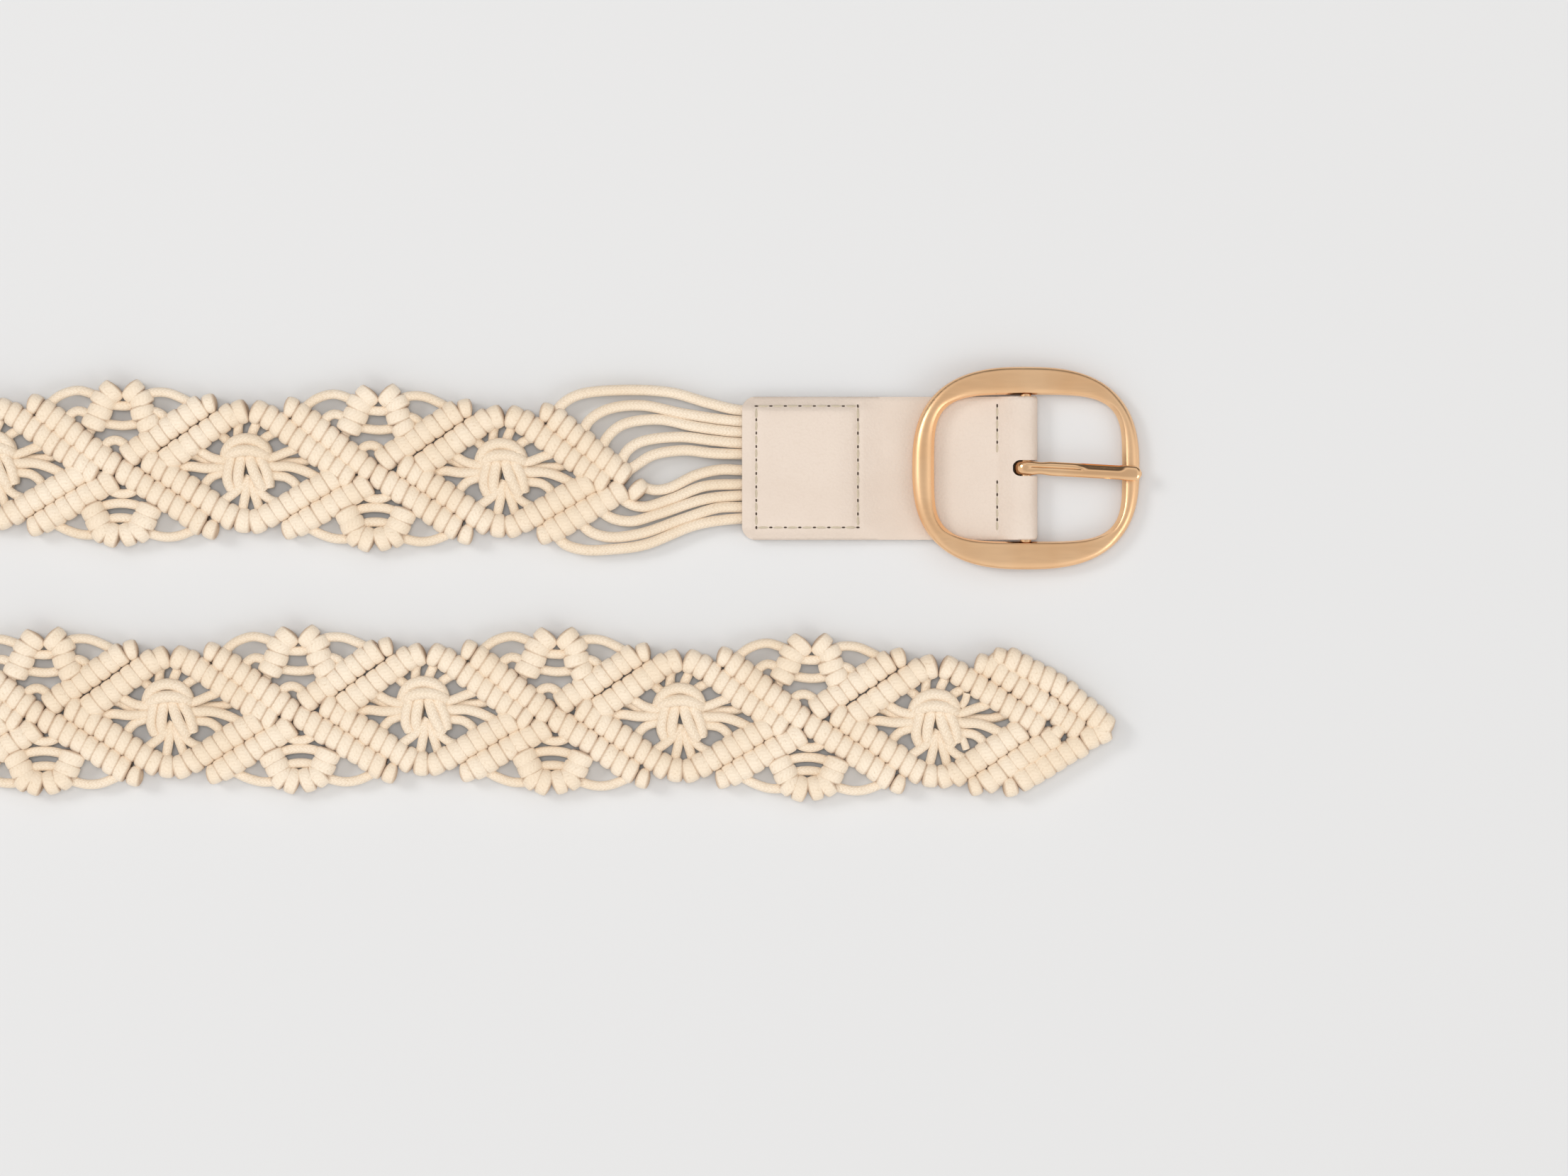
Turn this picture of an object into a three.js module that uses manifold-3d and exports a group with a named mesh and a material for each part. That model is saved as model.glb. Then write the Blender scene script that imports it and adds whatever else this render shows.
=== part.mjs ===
// A knotted cotton belt lying in a long U: a net band of diamonds and picots, ten bare cords,
// a folded leather tab, and a centre bar buckle with its prong.
// Lengths are millimetres, +Z up, +X towards the two ends of the belt.

import * as THREE from 'three';
import { mergeVertices } from 'three/addons/utils/BufferGeometryUtils.js';
import Module from 'manifold-3d';

const wasm = await Module();
wasm.setup();

// Net band
const DIAMOND_COUNT = 12;
const BUCKLE_HALF_COUNT = 5;
const DIAMOND_PITCH = 70.2;
const BAND_HALF_WIDTH = 19.4;
const BAND_EDGE_REACH = 24;
const ROW_THICKNESS = 7;
const ROW_WIDTH = 6.6;
const ROW_SPACING = 6.2;
const HOOP_WIDTH = 6.4;
const HOOP_THICKNESS = 6.2;
const CORD_DIAMETER = 2.65;
const KNOT_THICKNESS = 6.6;
const WEB_THICKNESS = 2.8;
const CLEARANCE = 0.3;

// How the band lies: two runs side by side, joined by a turn where it stands on its edge
const RUN_SPACING = 68.6;
const BUCKLE_RUN_OFFSET = 1.6;
const FIRST_DIAMOND_FROM_BAR = 143.5;
const LAST_DIAMOND_FROM_BAR = 24.4;
const TWIST_LENGTH = 85;

// Leather tab
const TAB_LENGTH = 81.3;
const TAB_WIDTH = 39.4;
const LEATHER_WALL = 1.5;
const TAB_CORNER_RADIUS = 3.7;
const POCKET_DEPTH = 26;
const POCKET_WIDTH = 36;
const PAD_LENGTH = 32;
const PAD_SLOPE = 4;
const FOLD_SLOPE_START = 10;
const FOLD_SHOULDER_DROP = 0.6;
const CORD_END_IN_POCKET = 22;

// Buckle
const BAR_DIAMETER = 3.2;
const RUNNING_CLEARANCE = 0.15;
const FRAME_LENGTH = 62.7;
const FRAME_WIDTH = 55.7;
const FRAME_OUTLINE_POWER = 2.6;
const WINDOW_LENGTH = 52;
const WINDOW_WIDTH = 40.4;
const WINDOW_OUTLINE_POWER = 4.2;
const WINDOW_SHIFT = 0.6;
const FRAME_SIDE_THICKNESS = 4.5;
const FRAME_EDGE_THICKNESS = 3.8;
const FRAME_STATIONS = 28;

// Prong
const PRONG_WIDTH = 3.9;
const PRONG_THICKNESS = 2.1;
const PRONG_TIP_ROUNDING = 1;
const PRONG_CROWN = 0.15;
const PRONG_OVERHANG = 0.4;
const PRONG_SLANT = 1.6;
const SLOT_LENGTH_PAST_BAR = 4.4;

const COLOURS = {
  cotton: { color: 0xe9dcc3, roughness: 0.95, metalness: 0 },
  leather: { color: 0xe3d0bd, roughness: 0.6, metalness: 0 },
  brushedGold: { color: 0xd9ab78, roughness: 0.35, metalness: 1 },
  polishedGold: { color: 0xd9a86c, roughness: 0.15, metalness: 1 },
};

// Worked out from the sizes above
const FOLD_BORE_RADIUS = BAR_DIAMETER / 2 + RUNNING_CLEARANCE;
const FOLD_RADIUS = FOLD_BORE_RADIUS + LEATHER_WALL;
const POCKET_HEIGHT = CORD_DIAMETER + 2 * CLEARANCE;
const PAD_THICKNESS = POCKET_HEIGHT + 2 * LEATHER_WALL;
const FLAT_TAB_THICKNESS = 2 * LEATHER_WALL;
const POCKET_MIDDLE = PAD_THICKNESS / 2;
const TAB_START = FOLD_RADIUS - TAB_LENGTH;
const BEND_RADIUS = RUN_SPACING / 2;
const BEND_LENGTH = Math.PI * BEND_RADIUS;
const LAST_DIAMOND_TRAVEL = (DIAMOND_COUNT - 1) * DIAMOND_PITCH;
const STRAIGHT_TRAVEL = LAST_DIAMOND_TRAVEL - BEND_LENGTH;
const RUN_SHIFT = FIRST_DIAMOND_FROM_BAR - LAST_DIAMOND_FROM_BAR;
const BUCKLE_RUN_LENGTH = (STRAIGHT_TRAVEL - RUN_SHIFT) / 2;
const BEND_END = BUCKLE_RUN_LENGTH + BEND_LENGTH;
const BEND_X = -FIRST_DIAMOND_FROM_BAR - BUCKLE_RUN_LENGTH;
const HALVES_MEET = (BUCKLE_HALF_COUNT - 0.5) * DIAMOND_PITCH;

// How far each diamond's middle lies outside the straight line of its run
const RUN_DRIFT = [
  { diamond: -1, outward: -3.2 },
  { diamond: 0, outward: -2.2 },
  { diamond: 1, outward: -0.8 },
  { diamond: 8, outward: -0.2 },
  { diamond: 9, outward: -1 },
  { diamond: 10, outward: 0.8 },
  { diamond: 11, outward: 2.4 },
  { diamond: 12, outward: 6 },
];

// The four double rows of hitches round a diamond. Lengths along are shares of the pitch and
// lengths across are shares of the half width, both from the diamond's middle.
const DOUBLE_ROWS = [
  { name: 'upper right', inner: [[0.017, 0.907], [0.396, -0.165]], outer: [[0.151, 0.969], [0.5, -0.07]] },
  { name: 'lower left', inner: [[-0.4, 0.04], [-0.004, -0.885]], outer: [[-0.5, -0.07], [-0.136, -0.98]] },
  { name: 'lower right', inner: [[0.025, -0.885], [0.41, -0.07]], outer: [[0.157, -0.975], [0.5, -0.16]] },
  { name: 'upper left', inner: [[-0.4, -0.11], [-0.028, 0.892]], outer: [[-0.5, 0.06], [-0.149, 0.975]] },
];

// The third row on each side of the tail's point, as shares from the last diamond's middle
const TAIL_ROWS = [
  { name: 'upper', points: [[0.222, 0.96], [0.684, -0.15]] },
  { name: 'lower', points: [[0.286, -0.97], [0.63, -0.11]] },
];

// The knot in a diamond's middle and the webs of cords that lead to it
const FILLER_WEB = { points: [[-0.34, 0.02], [0, 0.06], [0.35, -0.07]], widths: [4.2, 6.4, 4.2] };
const KNOT = {
  points: [[0, 0.84], [0, 0.5], [0.01, -0.22], [0, -0.82]],
  widths: [5, 9.8, 9, 16],
  heights: [0.5, 1, 1, 0.5],
};

// Picots at a crossing: two hoops of hitches, and the bare cord that arches from a row to each
// side of a hoop. Shares as above, from the crossing's middle.
const PICOT_HOOPS = [
  { name: 'top', points: [[-0.13, 0.4], [-0.04, 0.98], [0.04, 0.98], [0.12, 0.41]] },
  { name: 'bottom', points: [[-0.12, -0.58], [-0.034, -1.04], [0.034, -1.02], [0.125, -0.54]] },
];
const PICOT_ARCHES = [
  { name: 'top left', points: [[-0.278, 0.84], [-0.16, 1.06], [-0.06, 1]] },
  { name: 'top right', points: [[0.06, 1.03], [0.17, 1.02], [0.275, 0.84]] },
  { name: 'bottom left', points: [[-0.26, -0.9], [-0.15, -1.09], [-0.05, -1.09]] },
  { name: 'bottom right', points: [[0.05, -1.09], [0.19, -1.15], [0.3, -0.96]] },
];

// The knot that closes the first diamond, where the bare cords begin
const END_KNOT = { points: [[0.4, -0.17], [0.545, -0.23]] };

// Routes of the ten bare cords in plan, from inside the band's last rows into the tab
const CORD_ROUTES = [
  [[-130.4, 13.4], [-127.6, 17.5], [-123, 20.2], [-111.5, 21.5], [-97.6, 20.8], [-87.2, 17.9]],
  [[-122.3, 9.3], [-119.9, 13.3], [-115, 16.2], [-106, 17.3], [-94.1, 15]],
  [[-117.2, 4.7], [-114.8, 8.9], [-110.8, 12], [-101.1, 13.4], [-90.7, 11.4]],
  [[-111.6, 0.9], [-109.8, 4.6], [-106, 7.2], [-95.5, 8.6], [-86, 7.6]],
  [[-110, -1.2], [-106.6, 1.2], [-102.5, 3.6], [-94.1, 4.9], [-86, 4.1]],
  [[-106, -5], [-102, -6], [-98, -5.4], [-90.7, -1.9], [-84, -0.4]],
  [[-113.4, -5.6], [-110, -9.2], [-105.3, -10.6], [-97.6, -8.5], [-88.6, -5]],
  [[-118, -10.4], [-114.6, -13.4], [-108.7, -14.6], [-101.1, -12.6], [-88.6, -8.6]],
  [[-123.4, -13.6], [-120.2, -17.2], [-115, -18.9], [-106, -18], [-94.1, -13.9], [-84.5, -10.9]],
  [[-130.2, -16.6], [-127.2, -20.6], [-122, -22.4], [-113.6, -22.3], [-104.6, -21], [-90.7, -15.6]],
];
const CORD_ENTRIES = [15.9, 12.5, 9.4, 6.3, 3.2, -0.1, -3.5, -6.9, -10.2, -13.6];
const CORD_STEP = 8;
const CORD_SIDES = 8;

// Closed outlines that run from -1 to 1 both ways
const ROW_SECTION = [[-1, 0], [-0.6, -1], [0.6, -1], [1, 0], [0.5, 1], [-0.5, 1]];
const DOUBLE_ROW_SECTION = [[-1, 0], [-0.56, -1], [0.56, -1], [1, 0], [0.56, 1], [0, 0.5], [-0.56, 1]];
const HOOP_SECTION = [[-1, -1], [1, -1], [0.7, 1], [-0.7, 1]];
const CORD_SECTION = [[-1, -0.7], [1, -0.7], [0, 1]];
const WEB_SECTION = [[-1, -1], [1, -1], [1, 1], [-1, 1]];

function shapeOf(points) {
  return new THREE.Shape(points.map(([x, y]) => new THREE.Vector2(x, y)));
}

function signedVolume(positions, index) {
  const a = new THREE.Vector3();
  const b = new THREE.Vector3();
  const c = new THREE.Vector3();
  let volume = 0;
  for (let i = 0; i < index.length; i += 3) {
    a.fromArray(positions, 3 * index[i]);
    b.fromArray(positions, 3 * index[i + 1]);
    c.fromArray(positions, 3 * index[i + 2]);
    volume += a.dot(b.cross(c));
  }
  return volume / 6;
}

// Turns a closed geometry into a solid that can be joined and cut
function toSolid(geometry) {
  const bare = geometry.clone();
  bare.deleteAttribute('normal');
  bare.deleteAttribute('uv');
  const merged = mergeVertices(bare, 1e-4);
  const vertProperties = new Float32Array(merged.attributes.position.array);
  const triVerts = new Uint32Array(merged.index.array);
  if (signedVolume(vertProperties, triVerts) < 0) {
    for (let i = 0; i < triVerts.length; i += 3) {
      [triVerts[i], triVerts[i + 1]] = [triVerts[i + 1], triVerts[i]];
    }
  }
  return new wasm.Manifold(new wasm.Mesh({ numProp: 3, vertProperties, triVerts }));
}

function joinAll(solids) {
  return wasm.Manifold.union(solids);
}

function toGeometry(solid) {
  const { numProp, vertProperties, triVerts } = solid.getMesh();
  const positions = new Float32Array((vertProperties.length / numProp) * 3);
  for (let i = 0; i < positions.length / 3; i += 1) {
    positions.set(vertProperties.subarray(i * numProp, i * numProp + 3), 3 * i);
  }
  const geometry = new THREE.BufferGeometry();
  geometry.setAttribute('position', new THREE.BufferAttribute(positions, 3));
  geometry.setIndex(new THREE.BufferAttribute(new Uint32Array(triVerts), 1));
  geometry.computeVertexNormals();
  return geometry;
}

function namedMesh(name, geometry, look) {
  const mesh = new THREE.Mesh(geometry, new THREE.MeshStandardMaterial(look));
  mesh.name = name;
  return mesh;
}

function smoothStep(share) {
  const t = Math.min(Math.max(share, 0), 1);
  return t * t * (3 - 2 * t);
}

function driftAtDiamond(diamond) {
  const row = RUN_DRIFT.find((entry) => entry.diamond === diamond);
  return row ? row.outward : 0;
}

// Smooth curve through the drift of each diamond
function driftAt(travel) {
  const diamond = travel / DIAMOND_PITCH;
  const index = Math.floor(diamond);
  const t = diamond - index;
  const [p0, p1, p2, p3] = [-1, 0, 1, 2].map((step) => driftAtDiamond(index + step));
  const linear = p2 - p0;
  const square = 2 * p0 - 5 * p1 + 4 * p2 - p3;
  const cube = 3 * p1 - p0 - 3 * p2 + p3;
  return p1 + 0.5 * t * (linear + t * (square + t * cube));
}

// Middle of the band in plan, by the distance travelled from the first diamond's middle
function planPoint(travel) {
  const middle = BUCKLE_RUN_OFFSET - BEND_RADIUS;
  if (travel < BUCKLE_RUN_LENGTH) {
    return new THREE.Vector2(-FIRST_DIAMOND_FROM_BAR - travel, BUCKLE_RUN_OFFSET + driftAt(travel));
  }
  if (travel < BEND_END) {
    const angle = (travel - BUCKLE_RUN_LENGTH) / BEND_RADIUS;
    return new THREE.Vector2(BEND_X - BEND_RADIUS * Math.sin(angle), middle + BEND_RADIUS * Math.cos(angle));
  }
  return new THREE.Vector2(BEND_X + travel - BEND_END, middle - BEND_RADIUS - driftAt(travel));
}

// How far the band is turned onto its edge, 0 where it lies flat
function edgeTurn(travel) {
  const rising = smoothStep((travel - BUCKLE_RUN_LENGTH + TWIST_LENGTH) / TWIST_LENGTH);
  const falling = smoothStep((BEND_END + TWIST_LENGTH - travel) / TWIST_LENGTH);
  return (Math.PI / 2) * Math.min(rising, falling);
}

// Place in space of a point of the band: travelled distance, distance towards the outer side
// of the turn, and height above the band's middle face
function bandPoint(travel, outward, height) {
  const step = 0.5;
  const middle = planPoint(travel);
  const along = planPoint(travel + step).sub(planPoint(travel - step)).normalize();
  const side = new THREE.Vector3(along.y, -along.x, 0);
  const turn = edgeTurn(travel);
  const up = new THREE.Vector3(0, 0, 1);
  const across = side.clone().multiplyScalar(Math.cos(turn)).addScaledVector(up, -Math.sin(turn));
  const facing = up.multiplyScalar(Math.cos(turn)).addScaledVector(side, Math.sin(turn));
  const lift = BAND_EDGE_REACH * Math.sin(turn) + (ROW_THICKNESS / 2) * Math.cos(turn);
  return new THREE.Vector3(middle.x, middle.y, lift)
    .addScaledVector(across, outward)
    .addScaledVector(facing, height);
}

// The pattern runs with +X on both straight runs, so it is turned half round between the halves
function diamondPlacer(diamond) {
  const start = diamond * DIAMOND_PITCH;
  if (diamond < BUCKLE_HALF_COUNT) {
    return (u, v, w) => bandPoint(start - u, v, w);
  }
  return (u, v, w) => bandPoint(start + u, -v, w);
}

function shares([u, v]) {
  return new THREE.Vector2(u * DIAMOND_PITCH, v * BAND_HALF_WIDTH);
}

// Point at a share of the way along a line of two or more points
function alongLine(points, share) {
  const spans = points.length - 1;
  const i = Math.min(Math.floor(share * spans), spans - 1);
  return points[i].clone().lerp(points[i + 1], share * spans - i);
}

// A bar of the band between two edge lines, bent along with the band. Its heights are shares of
// the thickness along the way.
function beam(section, edgeA, edgeB, thickness, steps, place, heights = [1, 1]) {
  const options = { depth: 1, steps, bevelEnabled: false };
  const geometry = new THREE.ExtrudeGeometry(shapeOf(section), options);
  const position = geometry.attributes.position;
  for (let i = 0; i < position.count; i += 1) {
    const t = position.getZ(i);
    const flat = alongLine(edgeA, t).lerp(alongLine(edgeB, t), (position.getX(i) + 1) / 2);
    const span = Math.min(Math.floor(t * (heights.length - 1)), heights.length - 2);
    const height = THREE.MathUtils.lerp(heights[span], heights[span + 1], t * (heights.length - 1) - span);
    const point = place(flat.x, flat.y, (position.getY(i) * height * thickness) / 2);
    position.setXYZ(i, point.x, point.y, point.z);
  }
  return toSolid(geometry);
}

function doubleRow(row, place, steps, grow = 0) {
  const inner = row.inner.map(shares);
  const outer = row.outer.map(shares);
  const stretch = (ROW_WIDTH / 2 + grow) / ROW_SPACING;
  const edgeA = inner.map((point, i) => point.clone().sub(outer[i]).multiplyScalar(stretch).add(point));
  const edgeB = outer.map((point, i) => point.clone().sub(inner[i]).multiplyScalar(stretch).add(point));
  return beam(DOUBLE_ROW_SECTION, edgeA, edgeB, ROW_THICKNESS + 2 * grow, steps, place);
}

// A bar with its own width at each point of its middle line
function strut({ points, widths, heights }, section, thickness, place) {
  const middle = points.map(shares);
  const edge = (side) => middle.map((point, i) => {
    const before = middle[Math.max(i - 1, 0)];
    const after = middle[Math.min(i + 1, middle.length - 1)];
    const normal = after.clone().sub(before).normalize().rotateAround(new THREE.Vector2(), Math.PI / 2);
    return normal.multiplyScalar((side * widths[i]) / 2).add(point);
  });
  return beam(section, edge(-1), edge(1), thickness, points.length - 1, place, heights);
}

// A strut of one width and height all along
function evenStrut({ points }, section, width, thickness, place) {
  return strut({ points, widths: points.map(() => width) }, section, thickness, place);
}

function knotParts(place) {
  return [
    strut(FILLER_WEB, WEB_SECTION, WEB_THICKNESS, place),
    strut(KNOT, WEB_SECTION, KNOT_THICKNESS, place),
  ];
}

// Picots of a crossing, whose middle is a distance along from this diamond's middle
function picotParts(diamond, along) {
  const place = diamondPlacer(diamond);
  const atCrossing = (u, v, w) => place(u + along, v, w);
  return [
    ...PICOT_HOOPS.map((hoop) => evenStrut(hoop, HOOP_SECTION, HOOP_WIDTH, HOOP_THICKNESS, atCrossing)),
    ...PICOT_ARCHES.map((arch) => evenStrut(arch, CORD_SECTION, CORD_DIAMETER, CORD_DIAMETER, atCrossing)),
  ];
}

function liesFlat(diamond) {
  const ends = [-0.6, 0.6].map((share) => edgeTurn((diamond + share) * DIAMOND_PITCH));
  return Math.max(...ends) < 0.02;
}

function diamondParts(diamond) {
  const place = diamondPlacer(diamond);
  const steps = liesFlat(diamond) ? 1 : 2;
  return [...DOUBLE_ROWS.map((row) => doubleRow(row, place, steps)), ...knotParts(place)];
}

function tailParts() {
  const place = diamondPlacer(DIAMOND_COUNT - 1);
  return TAIL_ROWS.map((row) => evenStrut(row, ROW_SECTION, ROW_WIDTH, ROW_THICKNESS, place));
}

function endKnot(grow = 0) {
  const [width, thickness] = [HOOP_WIDTH + 2 * grow, HOOP_THICKNESS + 2 * grow];
  return evenStrut(END_KNOT, ROW_SECTION, width, thickness, diamondPlacer(0));
}

// Cuts a solid at the plane where the two halves of the band meet
function cutAtMeeting(solid, side) {
  const start = bandPoint(HALVES_MEET, 0, 0);
  const ahead = bandPoint(HALVES_MEET + 1, 0, 0).sub(start).normalize().multiplyScalar(side);
  const offset = ahead.dot(start) + CLEARANCE / 2;
  return solid.trimByPlane(ahead.toArray(), offset);
}

// Diamonds and picots from one free end to the meeting
function bandHalf(diamonds) {
  const endDiamond = diamonds.find((diamond) => diamond === 0 || diamond === DIAMOND_COUNT - 1);
  const nearMeeting = endDiamond === 0 ? BUCKLE_HALF_COUNT - 1 : BUCKLE_HALF_COUNT;
  const side = endDiamond === 0 ? -1 : 1;
  const whole = diamonds.filter((diamond) => diamond !== nearMeeting).flatMap(diamondParts);
  const picots = diamonds.filter((diamond) => diamond !== endDiamond)
    .flatMap((diamond) => picotParts(diamond, DIAMOND_PITCH / 2));
  const atMeeting = [...diamondParts(nearMeeting), ...picotParts(nearMeeting, -DIAMOND_PITCH / 2)];
  return joinAll([...whole, ...picots, cutAtMeeting(joinAll(atMeeting), side)]);
}

function buckleHalf() {
  const diamonds = [...Array(BUCKLE_HALF_COUNT).keys()];
  return joinAll([bandHalf(diamonds), endKnot()]);
}

function tailHalf() {
  const count = DIAMOND_COUNT - BUCKLE_HALF_COUNT;
  const diamonds = [...Array(count).keys()].map((i) => i + BUCKLE_HALF_COUNT);
  return joinAll([bandHalf(diamonds), ...tailParts()]);
}

// The rows that the bare cords grow out of, larger by the clearance
function grownFirstRows() {
  const place = diamondPlacer(0);
  const rows = DOUBLE_ROWS.filter((row) => row.name.endsWith('right'));
  return joinAll([...rows.map((row) => doubleRow(row, place, 1, CLEARANCE)), endKnot(CLEARANCE)]);
}

function cordGeometry(route, entry, rows) {
  const bandHeight = ROW_THICKNESS / 2;
  const free = route.map(([x, y]) => new THREE.Vector3(x, y, bandHeight));
  const mouth = new THREE.Vector3(TAB_START, entry, POCKET_MIDDLE);
  const end = new THREE.Vector3(TAB_START + CORD_END_IN_POCKET, entry, POCKET_MIDDLE);
  const curve = new THREE.CatmullRomCurve3([...free, mouth, end]);
  const corners = [...Array(CORD_SIDES).keys()].map((i) => {
    const angle = (2 * Math.PI * (i + 0.5)) / CORD_SIDES;
    return [(Math.cos(angle) * CORD_DIAMETER) / 2, (Math.sin(angle) * CORD_DIAMETER) / 2];
  });
  const steps = Math.round(curve.getLength() / CORD_STEP);
  const options = { extrudePath: curve, steps, bevelEnabled: false };
  const tube = new THREE.ExtrudeGeometry(shapeOf(corners), options);
  return toGeometry(toSolid(tube).subtract(rows));
}

// Box between two corners
function block(low, high) {
  const size = high.clone().sub(low);
  const middle = low.clone().add(high).multiplyScalar(0.5);
  return new THREE.BoxGeometry(size.x, size.y, size.z).translate(middle.x, middle.y, middle.z);
}

// Round bar along Y
function roundBar(radius, length, sides) {
  return new THREE.CylinderGeometry(radius, radius, length, sides);
}

// Side view of the folded strip: thick over the cords, flat, then round the bar. The bar's axis
// is at the origin and the underside is one flat.
function tabProfile() {
  const floor = -FOLD_RADIUS;
  const padEnd = TAB_START + PAD_LENGTH;
  const shape = new THREE.Shape();
  shape.moveTo(TAB_START, floor);
  shape.lineTo(0, floor);
  shape.absarc(0, 0, FOLD_RADIUS, -Math.PI / 2, Math.PI / 2, false);
  shape.lineTo(-FOLD_RADIUS, FOLD_RADIUS - FOLD_SHOULDER_DROP);
  shape.lineTo(-FOLD_SLOPE_START, floor + FLAT_TAB_THICKNESS);
  shape.lineTo(padEnd, floor + FLAT_TAB_THICKNESS);
  shape.lineTo(padEnd - PAD_SLOPE, floor + PAD_THICKNESS);
  shape.lineTo(TAB_START, floor + PAD_THICKNESS);
  return shape;
}

function tabOutline() {
  const half = TAB_WIDTH / 2;
  const end = FOLD_RADIUS + 1;
  const corner = TAB_START + TAB_CORNER_RADIUS;
  const shape = new THREE.Shape();
  shape.moveTo(corner, -half);
  shape.lineTo(end, -half);
  shape.lineTo(end, half);
  shape.lineTo(corner, half);
  shape.absarc(corner, half - TAB_CORNER_RADIUS, TAB_CORNER_RADIUS, Math.PI / 2, Math.PI, false);
  shape.absarc(corner, TAB_CORNER_RADIUS - half, TAB_CORNER_RADIUS, Math.PI, 1.5 * Math.PI, false);
  return shape;
}

function leatherTab() {
  const strip = new THREE.ExtrudeGeometry(tabProfile(), {
    depth: TAB_WIDTH + 2, bevelEnabled: false, curveSegments: 8,
  });
  strip.rotateX(Math.PI / 2).translate(0, TAB_WIDTH / 2 + 1, 0);
  const outline = new THREE.ExtrudeGeometry(tabOutline(), {
    depth: 4 * FOLD_RADIUS, bevelEnabled: false, curveSegments: 4,
  });
  outline.translate(0, 0, -2 * FOLD_RADIUS);
  const pocketFloor = LEATHER_WALL - FOLD_RADIUS;
  const pocket = block(
    new THREE.Vector3(TAB_START - 1, -POCKET_WIDTH / 2, pocketFloor),
    new THREE.Vector3(TAB_START + POCKET_DEPTH, POCKET_WIDTH / 2, pocketFloor + POCKET_HEIGHT),
  );
  const slotHalf = PRONG_WIDTH / 2 + CLEARANCE;
  const slot = block(
    new THREE.Vector3(-SLOT_LENGTH_PAST_BAR, -slotHalf, -2 * FOLD_RADIUS),
    new THREE.Vector3(2 * FOLD_RADIUS, slotHalf, 2 * FOLD_RADIUS),
  );
  return toSolid(strip)
    .intersect(toSolid(outline))
    .subtract(toSolid(pocket))
    .subtract(toSolid(roundBar(FOLD_BORE_RADIUS, TAB_WIDTH + 4, 12)))
    .subtract(toSolid(slot));
}

// Point on an outline that is squarer than an ellipse
function squareRound(angle, length, width, power) {
  const bulge = (value) => Math.sign(value) * Math.abs(value) ** (2 / power);
  return new THREE.Vector2((bulge(Math.cos(angle)) * length) / 2, (bulge(Math.sin(angle)) * width) / 2);
}

// A side of the frame in section, from the window's edge to the outer edge, with its height
// in shares of half the thickness
const FRAME_SECTION = [
  { across: 0, height: -0.45 },
  { across: 0.14, height: -1 },
  { across: 0.84, height: -1 },
  { across: 1, height: -0.35 },
  { across: 0.97, height: 0.3 },
  { across: 0.78, height: 0.95 },
  { across: 0.2, height: 1 },
  { across: 0, height: 0.45 },
];

// The frame lies with its far side on the floor and its near side just above the tab
const FRAME_HALF = FRAME_SIDE_THICKNESS / 2;
const NEAR_EDGE = WINDOW_LENGTH / 2 - WINDOW_SHIFT;
const FAR_EDGE = WINDOW_LENGTH / 2 + WINDOW_SHIFT;
const FAR_SIDE_WIDTH = FRAME_LENGTH / 2 - FAR_EDGE;
const FAR_REST = FAR_EDGE + FRAME_SECTION[2].across * FAR_SIDE_WIDTH;
const FRAME_TILT = Math.atan((FLAT_TAB_THICKNESS + CLEARANCE) / (NEAR_EDGE + FAR_REST));
const FRAME_RISE = FRAME_HALF + FAR_REST * Math.tan(FRAME_TILT) - FOLD_RADIUS / Math.cos(FRAME_TILT);
const FAR_TOP = (FRAME_RISE + FRAME_HALF) * Math.cos(FRAME_TILT) - FAR_EDGE * Math.sin(FRAME_TILT);

// The frame as one ring of sections between its window and its outline, with the bar across it
function buckleFrame() {
  const positions = [];
  const index = [];
  for (let i = 0; i < FRAME_STATIONS; i += 1) {
    const angle = (2 * Math.PI * i) / FRAME_STATIONS;
    const inner = squareRound(angle, WINDOW_LENGTH, WINDOW_WIDTH, WINDOW_OUTLINE_POWER);
    const outer = squareRound(angle, FRAME_LENGTH, FRAME_WIDTH, FRAME_OUTLINE_POWER);
    inner.x += WINDOW_SHIFT;
    const flatness = Math.sin(angle) ** 2;
    const half = THREE.MathUtils.lerp(FRAME_SIDE_THICKNESS, FRAME_EDGE_THICKNESS, flatness) / 2;
    FRAME_SECTION.forEach(({ across, height }) => {
      const point = inner.clone().lerp(outer, across);
      positions.push(point.x, point.y, height * half + FRAME_RISE);
    });
  }
  const count = FRAME_SECTION.length;
  for (let i = 0; i < FRAME_STATIONS; i += 1) {
    const next = (i + 1) % FRAME_STATIONS;
    for (let j = 0; j < count; j += 1) {
      const k = (j + 1) % count;
      const [a, b, c, d] = [i * count + j, i * count + k, next * count + k, next * count + j];
      index.push(a, b, c, a, c, d);
    }
  }
  const ring = new THREE.BufferGeometry();
  ring.setAttribute('position', new THREE.Float32BufferAttribute(positions, 3));
  ring.setAttribute('normal', new THREE.Float32BufferAttribute(positions, 3));
  ring.setAttribute('uv', new THREE.Float32BufferAttribute(positions, 3));
  ring.setIndex(index);
  const barLength = (WINDOW_WIDTH + FRAME_WIDTH) / 2;
  return joinAll([toSolid(ring), toSolid(roundBar(BAR_DIAMETER / 2, barLength, 12))]);
}

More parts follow.
